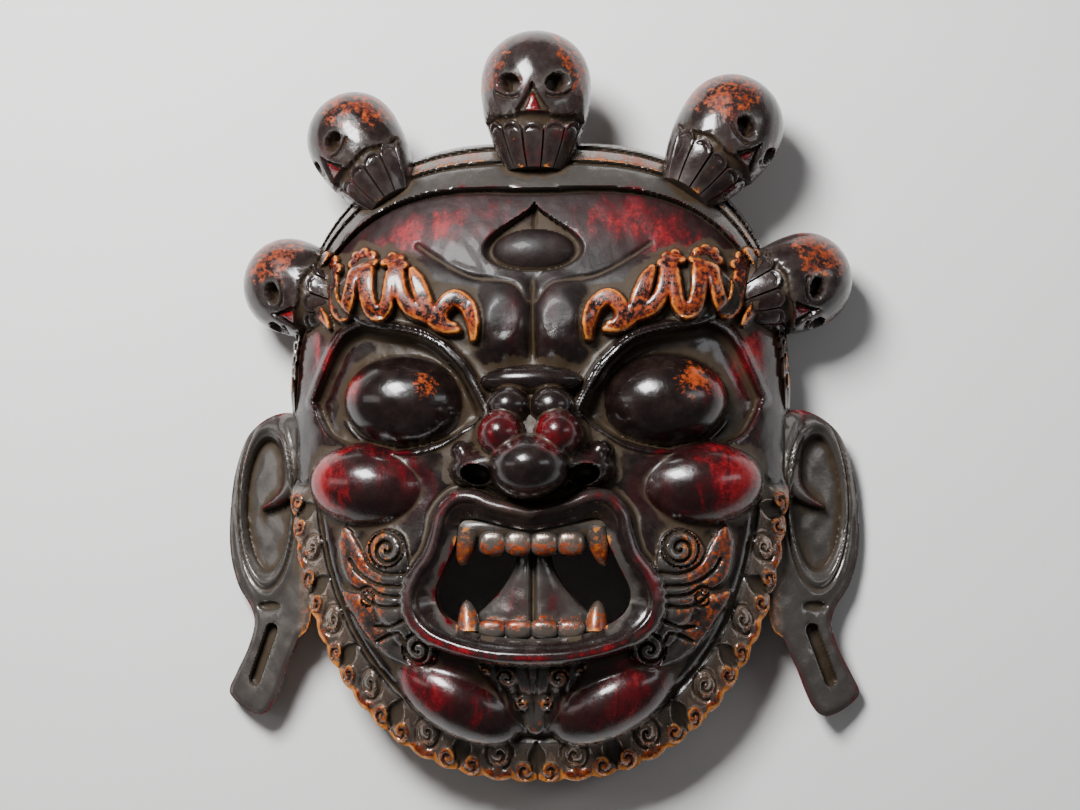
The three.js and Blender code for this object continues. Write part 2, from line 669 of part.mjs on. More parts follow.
function skullRelief(s, y) {
  const as = Math.abs(s);
  const socket = Math.hypot((as - skullSocket.s) / skullSocket.rx, (y - skullSocket.y) / skullSocket.ry);
  let cut = skullSocket.depth * smooth((1 - socket) / 0.3);
  const t = (skullNose.top - y) / (skullNose.top - skullNose.bottom);
  if (t > 0 && t < 1) cut = Math.max(cut, skullNose.depth * smooth((skullNose.half * t ** 1.4 + 1 - as) / 2));
  const jaw = smooth((skullJawLine - y) / 1.5);
  const fromPlate = as % skullPlatePitch > skullPlatePitch / 2 ? (as % skullPlatePitch) - skullPlatePitch : as % skullPlatePitch;
  const round = 1 - Math.sqrt(1 - Math.min(1, Math.abs(fromPlate / (skullPlatePitch / 2))) ** 2);
  const plateTop = skullPlateTop - skullPlateDrop * round + 0.1 * as;
  const plate = smooth((plateTop - y) / 2) * smooth((skullPlatePitch / 2 - Math.abs(fromPlate)) / 1.6);
  return Math.max(cut, jaw * skullJawStep) - jaw * plate * skullJawStep * 0.9;
}

// A point on the head's edge, pushed out along its direction from the middle
function onEdge(angle, out) {
  const dx = Math.sin(angle);
  const dy = Math.cos(angle);
  const reach = 1 / headShare(dx, headCentreY + dy) + out;
  return [dx * reach, headCentreY + dy * reach];
}

function makeSkull({ side, round, stand, level, tilt, turn, lean, size }) {
  const [outX, upY] = onEdge(round, stand);
  const profile = [];
  const levels = 60;
  for (let i = 0; i <= levels; i += 1) {
    const y = -skullBottom * Math.cos((Math.PI * i) / levels);
    profile.push(new THREE.Vector2(i === levels ? 0 : skullHalf(y), y));
  }
  profile.unshift(new THREE.Vector2(0, -skullBottom));
  const geometry = new THREE.LatheGeometry(profile, 96);
  const p = geometry.attributes.position;
  for (let i = 0; i < p.count; i += 1) {
    const [x, y, z] = [p.getX(i), p.getY(i), p.getZ(i)];
    const r = Math.hypot(x, z);
    if (r < 1) continue;
    const angle = Math.atan2(x, z);
    const front = smooth((2.1 - Math.abs(angle)) / 0.4);
    const scale = (r - front * skullRelief(angle * skullHalfWidth, y)) / r;
    p.setXYZ(i, x * scale, y, z * scale * skullDepthShare);
  }
  geometry.scale(size, size, size);
  geometry.rotateY(side * turn);
  geometry.rotateX(-lean);
  geometry.rotateZ(-side * tilt);
  geometry.translate(side * outX, upY, level);
  return solidOf(geometry);
}

// Thinning: edges collapse in the order of the error they would make, until the budget is reached

function thinned(solid, budget) {
  const mesh = solid.getMesh();
  const pos = Float64Array.from(mesh.vertProperties);
  const tris = Int32Array.from(mesh.triVerts);
  const vertexCount = pos.length / 3;
  const triCount = tris.length / 3;
  const alive = new Uint8Array(triCount).fill(1);
  const around = Array.from({ length: vertexCount }, () => new Set());
  const quadric = new Float64Array(vertexCount * 10);
  const stamp = new Int32Array(vertexCount);

  const corner = (t, k) => tris[t * 3 + k];
  const point = (v) => [pos[v * 3], pos[v * 3 + 1], pos[v * 3 + 2]];
  const minus = (a, b) => [a[0] - b[0], a[1] - b[1], a[2] - b[2]];
  const cross = (a, b) => [a[1] * b[2] - a[2] * b[1], a[2] * b[0] - a[0] * b[2], a[0] * b[1] - a[1] * b[0]];
  const dot = (a, b) => a[0] * b[0] + a[1] * b[1] + a[2] * b[2];

  for (let t = 0; t < triCount; t += 1) {
    const [a, b, c] = [0, 1, 2].map((k) => point(corner(t, k)));
    const n = cross(minus(b, a), minus(c, a));
    const area = Math.hypot(...n) || 1e-12;
    const [nx, ny, nz] = n.map((v) => v / area);
    const d = -dot([nx, ny, nz], a);
    const q = [nx * nx, nx * ny, nx * nz, nx * d, ny * ny, ny * nz, ny * d, nz * nz, nz * d, d * d];
    for (let k = 0; k < 3; k += 1) {
      around[corner(t, k)].add(t);
      for (let i = 0; i < 10; i += 1) quadric[corner(t, k) * 10 + i] += q[i] * area;
    }
  }

  function errorAt(a, b, [x, y, z]) {
    const q = (i) => quadric[a * 10 + i] + quadric[b * 10 + i];
    return (
      q(0) * x * x + 2 * q(1) * x * y + 2 * q(2) * x * z + 2 * q(3) * x + q(4) * y * y +
      2 * q(5) * y * z + 2 * q(6) * y + q(7) * z * z + 2 * q(8) * z + q(9)
    );
  }

  function bestPlace(a, b) {
    const [pa, pb] = [point(a), point(b)];
    const mid = pa.map((v, i) => (v + pb[i]) / 2);
    const span = Math.hypot(...minus(pa, pb));
    let best = null;
    for (const place of [mid, pa, pb]) {
      const cost = errorAt(a, b, place) + 1e-4 * span * span;
      if (!best || cost < best.cost) best = { cost, place };
    }
    return best;
  }

  // A heap of edges ordered by cost, kept as plain numbers
  const heapCost = [];
  const heapEdge = [];
  const swap = (i, j) => {
    [heapCost[i], heapCost[j]] = [heapCost[j], heapCost[i]];
    [heapEdge[i], heapEdge[j]] = [heapEdge[j], heapEdge[i]];
  };
  const push = (a, b) => {
    const { cost, place } = bestPlace(a, b);
    let i = heapCost.push(cost) - 1;
    heapEdge.push({ place, a, b, mark: stamp[a] + stamp[b] });
    while (i > 0 && heapCost[(i - 1) >> 1] > heapCost[i]) {
      swap(i, (i - 1) >> 1);
      i = (i - 1) >> 1;
    }
  };
  const pop = () => {
    const top = heapEdge[0];
    swap(0, heapCost.length - 1);
    heapCost.pop();
    heapEdge.pop();
    for (let i = 0; ; ) {
      let small = i;
      const child = 2 * i + 1;
      if (child < heapCost.length && heapCost[child] < heapCost[small]) small = child;
      if (child + 1 < heapCost.length && heapCost[child + 1] < heapCost[small]) small = child + 1;
      if (small === i) return top;
      swap(i, small);
      i = small;
    }
  };
  const neighbours = (v) => {
    const found = new Set();
    for (const t of around[v]) for (let k = 0; k < 3; k += 1) found.add(corner(t, k));
    found.delete(v);
    return found;
  };

  // A collapse may not turn a face over, pinch the surface or leave a sliver
  function allowed(a, b, place) {
    const nb = neighbours(b);
    let shared = 0;
    for (const v of neighbours(a)) if (nb.has(v)) shared += 1;
    if (shared !== 2) return false;
    for (const [from, other] of [[a, b], [b, a]])
      for (const t of around[from]) {
        const ids = [0, 1, 2].map((k) => corner(t, k));
        if (ids.includes(other)) continue;
        const old = ids.map(point);
        const now = ids.map((v, i) => (v === from ? place : old[i]));
        const n0 = cross(minus(old[1], old[0]), minus(old[2], old[0]));
        const n1 = cross(minus(now[1], now[0]), minus(now[2], now[0]));
        const size = Math.hypot(...n1);
        if (dot(n0, n1) < 0.3 * Math.hypot(...n0) * size) return false;
        const longest = Math.max(...[0, 1, 2].map((i) => Math.hypot(...minus(now[i], now[(i + 1) % 3]))));
        if (size < 0.04 * longest * longest) return false;
      }
    return true;
  }

  for (let t = 0; t < triCount; t += 1)
    for (let k = 0; k < 3; k += 1) {
      const [a, b] = [corner(t, k), corner(t, (k + 1) % 3)];
      if (a < b) push(a, b);
    }

  let left = triCount;
  while (left > budget && heapCost.length) {
    const { place, a, b, mark } = pop();
    if (!around[a].size || !around[b].size || mark !== stamp[a] + stamp[b]) continue;
    if (!allowed(a, b, place)) continue;
    pos.set(place, a * 3);
    for (let i = 0; i < 10; i += 1) quadric[a * 10 + i] += quadric[b * 10 + i];
    for (const t of [...around[b]]) {
      const ids = [0, 1, 2].map((k) => corner(t, k));
      if (ids.includes(a)) {
        for (const v of ids) around[v].delete(t);
        alive[t] = 0;
        left -= 1;
      } else {
        tris[t * 3 + ids.indexOf(b)] = a;
        around[a].add(t);
      }
    }
    around[b].clear();
    stamp[a] += 1;
    stamp[b] += 1;
    for (const v of neighbours(a)) push(a, v);
  }

  const renumber = new Map();
  const positions = [];
  const index = [];
  for (let t = 0; t < triCount; t += 1) {
    if (!alive[t]) continue;
    for (let k = 0; k < 3; k += 1) {
      const v = corner(t, k);
      if (!renumber.has(v)) {
        renumber.set(v, positions.length / 3);
        positions.push(...point(v));
      }
      index.push(renumber.get(v));
    }
  }
  const geometry = new THREE.BufferGeometry();
  geometry.setAttribute('position', new THREE.Float32BufferAttribute(positions, 3));
  geometry.setIndex(index);
  return geometry;
}

// The whole mask

function makeMask() {
  const pieces = [
    makeShell(),
    makeGum(upperGum),
    makeGum(lowerGum),
    ...makeIncisors(upperIncisorY),
    ...makeIncisors(lowerIncisorY),
    makeTongue(),
    makeEar(1),
    makeEar(-1),
    ...skulls.map(makeSkull),
  ];
  for (const side of [1, -1]) {
    pieces.push(makeCanine(side, upperGum.y + 4, -1));
    pieces.push(makeCanine(side, lowerGum.y + 2, 1));
  }
  const whole = pieces.reduce((sum, piece) => sum.add(piece));
  return thinned(whole, triangleBudget);
}

const maskGeometry = makeMask();
maskGeometry.computeBoundingBox();
const { min, max } = maskGeometry.boundingBox;
maskGeometry.translate(-(min.x + max.x) / 2, -(min.y + max.y) / 2, 0);
maskGeometry.computeVertexNormals();

const lacqueredWood = new THREE.MeshStandardMaterial({ color: 0x2a1512, roughness: 0.38, metalness: 0 });
const mask = new THREE.Mesh(maskGeometry, lacqueredWood);
mask.name = 'bhairava_mask';

const part = new THREE.Group();
part.add(mask);
export default part;
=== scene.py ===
"""A carved and lacquered guardian mask, lying on its back rim on a pale studio floor."""

import math

import bmesh
import bpy
import numpy as np
from mathutils import Matrix, Vector


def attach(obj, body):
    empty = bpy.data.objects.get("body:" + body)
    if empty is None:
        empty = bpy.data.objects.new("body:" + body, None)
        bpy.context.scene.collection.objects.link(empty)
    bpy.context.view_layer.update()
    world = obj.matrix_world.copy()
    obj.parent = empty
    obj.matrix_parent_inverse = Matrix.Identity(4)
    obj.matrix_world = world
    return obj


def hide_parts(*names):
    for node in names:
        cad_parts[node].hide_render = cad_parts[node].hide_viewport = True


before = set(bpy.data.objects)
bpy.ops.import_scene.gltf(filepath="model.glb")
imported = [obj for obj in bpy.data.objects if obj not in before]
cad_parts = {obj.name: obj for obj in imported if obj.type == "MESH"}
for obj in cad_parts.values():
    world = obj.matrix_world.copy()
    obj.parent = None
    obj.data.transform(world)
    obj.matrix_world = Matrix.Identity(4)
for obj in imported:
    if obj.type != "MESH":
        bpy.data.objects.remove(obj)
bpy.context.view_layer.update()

# Sizes of the carving in millimetres: x from the middle line, y up the face, z out of it
HEAD_HALF, CROWN, CHIN, MID_Y = 190.0, 216.0, 269.0, -12.0
RIM_DEPTH, FACE_RISE, FACE_FULL = 28.0, 84.0, 0.6
WALL, RIM_SHARE, HOLLOW_STEEP = 20.0, 0.9, 0.07
BAND_WIDTH, BAND_RISE, BAND_GROOVE = 45.0, 8.0, 3.5
BEARD_IN, BEARD_WIDTH, BEARD_UNIT, BEARD_START = 0.885, 26.0, 57.0, -62.0
BEARD_LEVEL, BEARD_FALL = 66.0, 19.0
SHIFT_Y = -0.5

# Step between samples, the most triangles, and how far the hollow's room goes into the wall
PITCH = 1.15
BUDGET = 192000
HOLLOW_MARGIN = 1

# Domes: centre x, y, half-sizes, base level, rise, turn
EYEBALL = (94, 0, 48, 36.5, 82, 40, 0.06)
EYE_CORNER = (67, -3, 27, 20, 85, 17, -0.05)
CHEEK = (117, -62, 52, 34, 76, 42, 0.1)
CHEEK_ROOT = (84, -44, 40, 18, 88, 17, -0.5)
NOSE_ROLL = (0, 13, 37, 11.5, 118, 17, 0)
NOSE_BODY = (0, -32, 44, 46, 104, 30, 0)
NOSE_WIDE = (0, -49, 49, 20, 116, 28, 0)
NOSE_KNOB = (15.5, -6.5, 16, 14, 128, 17, 0)
NOSE_BALL = (20.5, -27, 17.5, 17, 132, 24, 0)
NOSE_TIP = (0, -51, 29, 24, 132, 36, 0)
NOSE_WING = (40, -50, 21, 15, 108, 27, -0.12)
WING_KNOB = (50, -38, 9, 8, 114, 14, 0)
NOSTRIL = (39, -56, 12, 7.5, 0, 24, 0.15)
# The forms of the nose in the order in which they are raised, with the width of each blend
NOSE = ((NOSE_BODY, 10), (NOSE_WIDE, 12), (NOSE_ROLL, 4), (NOSE_KNOB, 9), (WING_KNOB, 6), (NOSE_WING, 10),
        (NOSE_TIP, 16), (NOSE_BALL, 9))
FROWN_LOBE = (20, 57, 24, 35, 100, 23, 0.06)
BROW_MUSCLE = (68, 71, 80, 34, 91, 20, 0.17)
MUZZLE = (0, -128, 122, 86, 78, 42, 0)
CHIN_BALL = (56, -218, 52, 28, 66, 36, 0.5)
THIRD_EYEBALL = (0, 111, 31, 17.5, 90, 14, 0)
EAR_SHELL = (210, -73, 20, 54, 0, 9, 0)
LOBE_CUT = (207, -150, 11, 4.5, 0, 4, 0)

LIPS = [(0, -84), (27, -78), (42, -72), (56, -73), (66, -84), (69, -98), (74, -113), (84, -127),
        (90, -143), (87, -159), (74, -172), (51, -181), (25, -186), (0, -187)]
OPENING = [(0, -96), (23, -92), (42, -87), (52, -90), (56, -105), (64, -123), (71, -139), (68, -153),
           (56, -163), (34, -171), (0, -174)]
BROW = [
    [(42, 44, 3), (42.5, 56, 5), (47, 68, 6), (56, 73.5, 6.5), (64, 68, 6), (66, 60, 5), (62, 54, 4), (57, 53, 3)],
    [(54, 50, 2.5), (62, 51, 4), (70, 56, 5.5), (76, 65, 6), (80, 76, 6.5), (84, 87, 5.5), (88, 95, 3)],
    [(76, 60, 5), (88, 66, 6), (95, 76, 5.5), (98, 88, 5.5), (100, 98, 6), (104, 103, 5)],
    [(103, 92, 5), (105, 78, 5), (107, 68, 5.5), (113, 63, 6), (119, 68, 6), (122, 80, 6), (123, 92, 6.5),
     (125, 102, 7), (130, 106, 6)],
    [(131, 98, 5.5), (134, 84, 5), (137, 72, 5.5), (142, 65, 5.5), (148, 71, 5.5), (151, 84, 5.5), (154, 95, 6.5),
     (158, 103, 7), (164, 106, 6)],
    [(163, 98, 6), (170, 103, 6), (176, 103, 6), (179, 96, 5)],
    [(170, 97, 6), (169, 84, 5), (164, 72, 4.5), (157, 62, 3), (154, 57, 1.5)]]
BROW_LOBES = [(95, 99, 4), (98.5, 105, 4), (104.5, 107, 4), (109, 102, 3.5), (118, 103, 4), (121, 109, 4.3),
              (127, 112, 4.3), (133, 110, 4.3), (136, 104, 4), (149, 102, 4.2), (153, 109, 4.4), (159, 112, 4.4),
              (165, 111, 4.4), (168, 106, 4), (174, 109, 4.2), (180, 106, 4.2), (183, 99, 4)]
FROWN = [(86, 116), (64, 100), (46, 91), (28, 88), (13, 84), (4, 72)]
LID = [(34, -10), (49, 19), (62, 34), (75, 43.5), (91, 49), (116, 54), (129, 56), (141, 51), (150, 40),
       (159, 22), (168, 3)]
ORBIT_LOW = [(168, 3), (162, -12), (152, -26), (128, -35), (98, -37.5), (66, -31), (46, -20), (34, -10)]
WHISKER = [(107, -94), (118, -98), (124, -107), (127, -109), (130, -100), (135, -95), (141, -92), (145, -101),
           (145, -113), (142, -126), (136, -134), (127, -139), (132, -141), (143, -139), (141, -148), (134, -158),
           (129, -166), (123, -174), (109, -187), (100, -191), (84, -196), (73, -191), (70, -182), (75, -171),
           (90, -160), (93, -142), (90, -126), (91, -112), (94, -101), (99, -96)]
WHISKER_CUTS = [
    [(133, -97), (127, -107), (122, -118), (115, -124), (105, -127), (91, -126)],
    [(136, -116), (131, -124), (122, -131), (111, -135), (93, -136)],
    [(128, -138), (122, -136), (114, -141), (105, -143), (93, -143)],
    [(128, -141), (120, -148), (107, -151), (93, -149)],
    [(117, -165), (105, -165), (92, -159)],
    [(116, -176), (108, -172), (99, -170), (96, -175)]]
EAR = [(172, -20), (186, -5), (200, -3), (216, -10), (229, -23), (238, -48), (242, -82), (241, -110),
       (234, -134), (223, -151), (220, -164), (225, -182), (234, -200), (240.5, -214), (236, -222), (224, -230),
       (212, -232), (203, -222), (193, -197), (184, -176), (172, -150), (172, -20)]
EAR_HOOK = [(189, -12, 12), (188.5, -30, 10.5), (188, -46, 9.5), (192, -60, 7), (201, -69, 4.5), (213, -75, 2)]
EAR_SLOT = [(205, -168), (219, -206)]
SKULLS = [((0, 228, 72), 0, 0, 0.04, 1, 1), ((140, 199.5, 58), 0.58, 0.85, 0.2, 0.97, 1),
          ((134, 194, 57), 0.55, 0.9, 0.2, 0.9, -1), ((190, 90, 45), 1.2, 0.85, 0.35, 0.9, 1),
          ((180, 90, 45), 1.2, 0.85, 0.35, 0.9, -1)]
SKULL_HALF, SKULL_END = 41.5, 54.0


def smooth(t):
    t = np.clip(t, 0, 1)
    return t * t * (3 - 2 * t)


def bell(t):
    return np.exp(-t * t)


def soft_max(a, b, width):
    h = np.maximum(0, 1 - np.abs(a - b) / width)
    return np.maximum(a, b) + h * h * width / 4


def share(x, y, form):
    """0 at the middle of a turned ellipse and 1 on its edge."""
    cx, cy, rx, ry, turn = *form[:4], form[6]
    c, s = math.cos(turn), math.sin(turn)
    return np.hypot(((x - cx) * c + (y - cy) * s) / rx, ((y - cy) * c - (x - cx) * s) / ry)


def raised(z, x, y, form, width=3):
    r = share(x, y, form)
    dome = form[4] + form[5] * np.sqrt(np.maximum(0, 1 - r * r))
    return np.where(r < 1, soft_max(z, dome, width), z)


def smooth_line(points, steps):
    """A Catmull-Rom line through points."""
    p = np.array(points, float)
    last = len(p) - 1
    t = np.linspace(0, last, steps + 1)
    i = np.minimum(t.astype(int), last - 1)
    w = (t - i)[:, None]
    p0, p1, p2, p3 = p[np.maximum(i - 1, 0)], p[i], p[i + 1], p[np.minimum(i + 2, last)]
    v0, v1 = (p2 - p0) / 2, (p3 - p1) / 2
    return (2 * p1 - 2 * p2 + v0 + v1) * w**3 + (3 * p2 - 3 * p1 - 2 * v0 - v1) * w**2 + v0 * w + p1


def mirrored(half, steps):
    right = smooth_line(half, steps)
    return np.vstack([right, right[-2:0:-1] * [-1, 1], right[:1]])


FAR = 30.0


def line_distance(x, y, line):
    """Distance to a line of points, cut off at FAR."""
    line = np.asarray(line, float)
    low, high = line.min(0) - FAR, line.max(0) + FAR
    near = (x > low[0]) & (x < high[0]) & (y > low[1]) & (y < high[1])
    px, py = x[near], y[near]
    best = np.full(px.shape, FAR**2)
    for (ax, ay), (bx, by) in zip(line[:-1], line[1:]):
        dx, dy = bx - ax, by - ay
        t = np.clip(((px - ax) * dx + (py - ay) * dy) / (dx * dx + dy * dy), 0, 1)
        np.minimum(best, (px - ax - t * dx) ** 2 + (py - ay - t * dy) ** 2, out=best)
    d = np.full(x.shape, FAR)
    d[near] = np.sqrt(best)
    return d


def signed_distance(x, y, line):
    """Distance to a closed line, negative inside."""
    line = np.asarray(line, float)
    d = line_distance(x, y, line)
    inside = np.zeros(x.shape, bool)
    for (ax, ay), (bx, by) in zip(line[:-1], line[1:]):
        if ay != by:
            inside ^= ((ay > y) != (by > y)) & (x < (bx - ax) * (y - ay) / (by - ay) + ax)
    return np.where(inside, -d, d)


def scroll(x, y, cx, cy, radius, hand=1, turns=1.9, cut=0.75):
    """A round boss with a spiral groove, from 0 to 1."""
    dx, dy = (x - cx) * hand, y - cy
    r = np.hypot(dx, dy)
    at = r / (radius / turns) + np.arctan2(dy, dx) / (2 * math.pi)
    off = np.abs(at - np.floor(at) - 0.5) * 2
    return np.where(r < radius, smooth((radius - r) / 2.5) * (1 - cut * smooth((off - 0.5) / 0.4)), 0)


def dome(x, y, cx, cy, rx, ry):
    return np.sqrt(np.maximum(0, 1 - ((x - cx) / rx) ** 2 - ((y - cy) / ry) ** 2))


LIP_LINE, OPENING_LINE = mirrored(LIPS, 60), mirrored(OPENING, 60)
BROW_LINES = [smooth_line(stroke, 6 * len(stroke)) for stroke in BROW]
LID_LINE, FROWN_LINE = smooth_line(LID, 60), smooth_line(FROWN, 24)
EAR_LINE = smooth_line(EAR, 160)
HOOK_LINE = smooth_line(EAR_HOOK, 40)
ORBIT_LINE = np.vstack([LID_LINE, smooth_line(ORBIT_LOW, 40)[1:]])
WHISKER_LINE = smooth_line(WHISKER + WHISKER[:1], 120)
WHISKER_CUT_LINES = [smooth_line(cut, 16) for cut in WHISKER_CUTS]


def head_share(x, y):
    up = y > MID_Y
    n = np.where(up, 2.7, 2.4)
    dy = np.abs(y - MID_Y) / np.where(up, CROWN, CHIN)
    return ((np.abs(x) / HEAD_HALF) ** n + dy**n) ** (1 / n)


def face_dome(x, y):
    return RIM_DEPTH + FACE_RISE * np.maximum(0, 1 - head_share(x, y) ** 3) ** FACE_FULL


def hollow(x, y):
    open_share = smooth((RIM_SHARE - head_share(x, y)) / HOLLOW_STEEP)
    chisel = 0.5 * np.sin(x / 5.5 + 0.9 * np.sin(y / 17)) * np.sin(y / 9 + 1.3 * np.sin(x / 23))
    return np.maximum(0, open_share * (face_dome(x, y) - WALL + chisel))


def third_eye(x, y):
    dy = y - 112
    half = 38 * np.cos(math.pi / 2 * np.clip(dy / 37, 0, 1)) ** 1.5
    return np.where(dy < 0, np.hypot(x / 38, dy / 18), np.where(half > 0.05, np.abs(x) / np.maximum(half, 0.05), 9))


def band_place(x, y):
    """Across the crown band, 0 at its inner edge and 1 at the head's edge."""
    side = np.arctan2(np.abs(x), np.maximum(1e-6, y - MID_Y)) / (math.pi / 2)
    top = 1 - BAND_WIDTH / CROWN
    inner = top + (0.975 - top) * smooth(side * 1.12)
    return (head_share(x, y) - inner) / (1 - inner)


def beard_angle(x, y):
    return np.arctan2(np.abs(x) / HEAD_HALF, (MID_Y - y) / CHIN)


def jaw_table():
    angle = np.arange(181) / 180 * math.pi / 2
    dx, dy = HEAD_HALF * np.sin(angle), -CHIN * np.cos(angle)
    reach = 0.94 / head_share(dx, MID_Y + dy)
    step = np.hypot(np.diff(dx * reach), np.diff(dy * reach))
    return angle, np.concatenate([[0], np.cumsum(step)])


JAW_ANGLES, JAW_LENGTHS = jaw_table()


def beard_place(x, y):
    """Along one unit of the beard from its middle, and across the strip, in millimetres."""
    along = np.interp(beard_angle(x, y), JAW_ANGLES, JAW_LENGTHS) / BEARD_UNIT
    u = (along - np.floor(along) - 0.5) * BEARD_UNIT
    return u, (head_share(x, y) - BEARD_IN) / (1 - BEARD_IN) * BEARD_WIDTH


def beard_recess(u, v):
    """1 in the wedge between two plates of the beard."""
    side = BEARD_UNIT / 2 - np.abs(u)
    half = 1.2 + 6.3 * np.sin(math.pi * np.clip(v / 21, 0, 1))
    return smooth((half - side) / 1.6)


def beard_relief(u, v):
    side = BEARD_UNIT / 2 - np.abs(u)
    inner = scroll(u, v, 0, 9, 8.5, 1, 1.35, 0.95)
    ring = bell((np.hypot(u, v - 9) - 9.6) / 1.1)
    curl = scroll(side, v, 9, 18.5, 8, -1, 1.35, 0.95)
    leaf = np.maximum(dome(np.abs(u), v, 5.5, 22.5, 6, 5), 0.85 * dome(u, v, 0, 21, 4, 9))
    vein = bell((np.abs(u) - 11 - 0.25 * (v - 8)) / 1.1) * smooth(v / 4) * smooth((14 - v) / 4)
    plate = 0.55 * (1 - beard_recess(u, v)) * (1 - 0.8 * ring) * (1 - 0.4 * vein)
    return np.maximum.reduce([plate, 0.95 * inner, 0.85 * leaf, curl])


def brow_place(x, y):
    """Distance from the edge of the flame brow, negative on it."""
    d = np.full(x.shape, FAR)
    near = (x > 30) & (x < 195) & (y > 30) & (y < 125)
    px, py = x[near], y[near]
    best = np.full(px.shape, FAR)
    for cx, cy, half in [point for line in BROW_LINES for point in line] + BROW_LOBES:
        best = np.minimum(best, np.hypot(px - cx, py - cy) - half)
    d[near] = best - 0.4
    return d


def whisker_cuts(x, y):
    return np.minimum.reduce([line_distance(x, y, line) for line in WHISKER_CUT_LINES])


def face(x, y):
    """Height of the carved front."""
    x = np.abs(x)
    z = face_dome(x, y)
    z = z + 0.22 * np.sin(x / 3.1 + 1.7 * np.sin(y / 13)) * np.sin(y / 4.3 + 1.9 * np.sin(x / 11))

    t = band_place(x, y)
    steps = 3 * smooth((t - 0.5) / 0.03) + 3 * smooth((t - 0.82) / 0.03)
    grooves = bell((t - 0.48) / 0.035) + bell((t - 0.8) / 0.035)
    lip = smooth((t + 0.02) / 0.035)
    rise = lip * (BAND_RISE + steps - BAND_GROOVE * grooves) - 2.5 * bell((t + 0.05) / 0.04)
    band = smooth((y - MID_Y) / 30) * rise
    z = np.where(y > MID_Y, z + band, z)

    r = head_share(x, y)
    u, v = beard_place(x, y)
    groove = bell((r - BEARD_IN + 0.012) / 0.012)
    strip = BEARD_LEVEL - BEARD_FALL * v / BEARD_WIDTH + 7 * beard_relief(u, v) - 0.5
    z = z + smooth((BEARD_START + 14 - y) / 22) * (np.where(r < BEARD_IN, 0, strip - z) - 4.5 * groove)

    z = raised(z, x, y, BROW_MUSCLE, 8)
    z = z + 12 * smooth((1.2 - share(x, y, FROWN_LOBE)) / 0.8)
    z = z - 3.5 * bell(x / 3) * smooth((95 - y) / 15) * smooth((y - 25) / 10)
    z = z - 2.6 * bell(line_distance(x, y, FROWN_LINE) / 2.2)
    eye_share = third_eye(x, y)
    z = z - 9 * smooth((1 - eye_share) / 0.14) - 1.5 * bell((eye_share - 0.9) / 0.07) * (y > 96)
    z = z - 3 * bell(x / 1.6) * smooth((y - 124) / 6) * smooth((148 - y) / 5)
    z = raised(z, x, y, THIRD_EYEBALL, 1)

    z = raised(z, x, y, MUZZLE, 14)
    d = signed_distance(x, y, WHISKER_LINE)
    off = whisker_cuts(x, y)
    cut = 3.6 * smooth((2.0 - off) / 1.6) + 1.2 * bell(off / 4.5)
    upper, lower = scroll(x, y, 107, -109, 14, 1, 1.9, 0.95), scroll(x, y, 84, -182, 13, -1, 1.9, 0.95)
    small = scroll(x, y, 122.5, -145, 6, -1, 1.4, 0.9)
    spiral = np.maximum.reduce([upper, lower, small])
    bevel = 0.75 + 0.25 * smooth(-d / 6)
    leaf = np.where(spiral > 0, 0.25 + 0.85 * spiral, bevel)
    z = z + smooth((1.2 - d) / 2.2) * (5.5 - cut) * leaf

    t = (-190 - y) / 56
    half = 42 * np.clip(1 - t, 0, 1) ** 0.8 + 2
    curl = np.maximum.reduce([scroll(x, y, 19, -202, 8.5, 1, 1.35, 0.95), scroll(x, y, 35, -197, 5.5, -1, 1.3, 0.9),
                              scroll(x, y, 8.5, -221, 6, -1, 1.3, 0.9)])
    veins = bell((((x + 10 * t) / 10.5) % 1 - 0.5) * 10.5 / 1.7)
    tuft = smooth((half - x) / 3) * (3.8 + 3.2 * curl - 2.6 * veins * (curl < 0.1))
    z = np.where((t > 0) & (t < 1), z + tuft, z)

    z = raised(z, x, y, CHIN_BALL, 8)
    z = raised(z, x, y, CHEEK_ROOT, 9)
    z = z - 13 * smooth((1 - signed_distance(x, y, ORBIT_LINE)) / 5)
    z = raised(z, x, y, EYE_CORNER, 8)
    z = raised(z, x, y, EYEBALL, 1.2)
    d = line_distance(x, y, LID_LINE)
    fold = 3 + 6 * smooth((122 - x) / 45)
    z = z + fold * smooth((8.5 - d) / 5.5) - 0.14 * fold * bell((d - 2.2) / 0.9)
    z = z + 2 * bell((share(x, y, EYEBALL) - 1.07) / 0.035) * smooth((-8 - y) / 12)
    z = raised(z, x, y, CHEEK, 1.5)

    d = brow_place(x, y)
    z = z + 10.5 * smooth((1.3 - d) / 2.6) + 0.9 * smooth(-d / 4)

    for form, width in NOSE:
        z = raised(z, x, y, form, width)
    z = z - 24 * smooth((1 - share(x, y, NOSTRIL)) / 0.35)

    d = signed_distance(x, y, LIP_LINE)
    level = 130 - 16 * (x / 90) ** 2
    rounded = np.maximum(z, z + (level - z) * np.sqrt(np.clip(1 - (d / 7) ** 2, 0, 1)))
    funnel = level - 0.9 * np.maximum(0, -d - 2.5) - 0.8 * bell((d + 5.5) / 1.2)
    return np.where(d > 7, z - 1.2 * bell((d - 9) / 2), np.where(d > 0, rounded, funnel))


def hook_distance(x, y):
    """Distance from the edge of the ear's hook, negative on it."""
    d = np.full(x.shape, FAR)
    near = (x > 160) & (x < 235) & (y > -100) & (y < 15)
    d[near] = np.minimum.reduce([np.hypot(x[near] - cx, y[near] - cy) - half for cx, cy, half in HOOK_LINE])
    return d


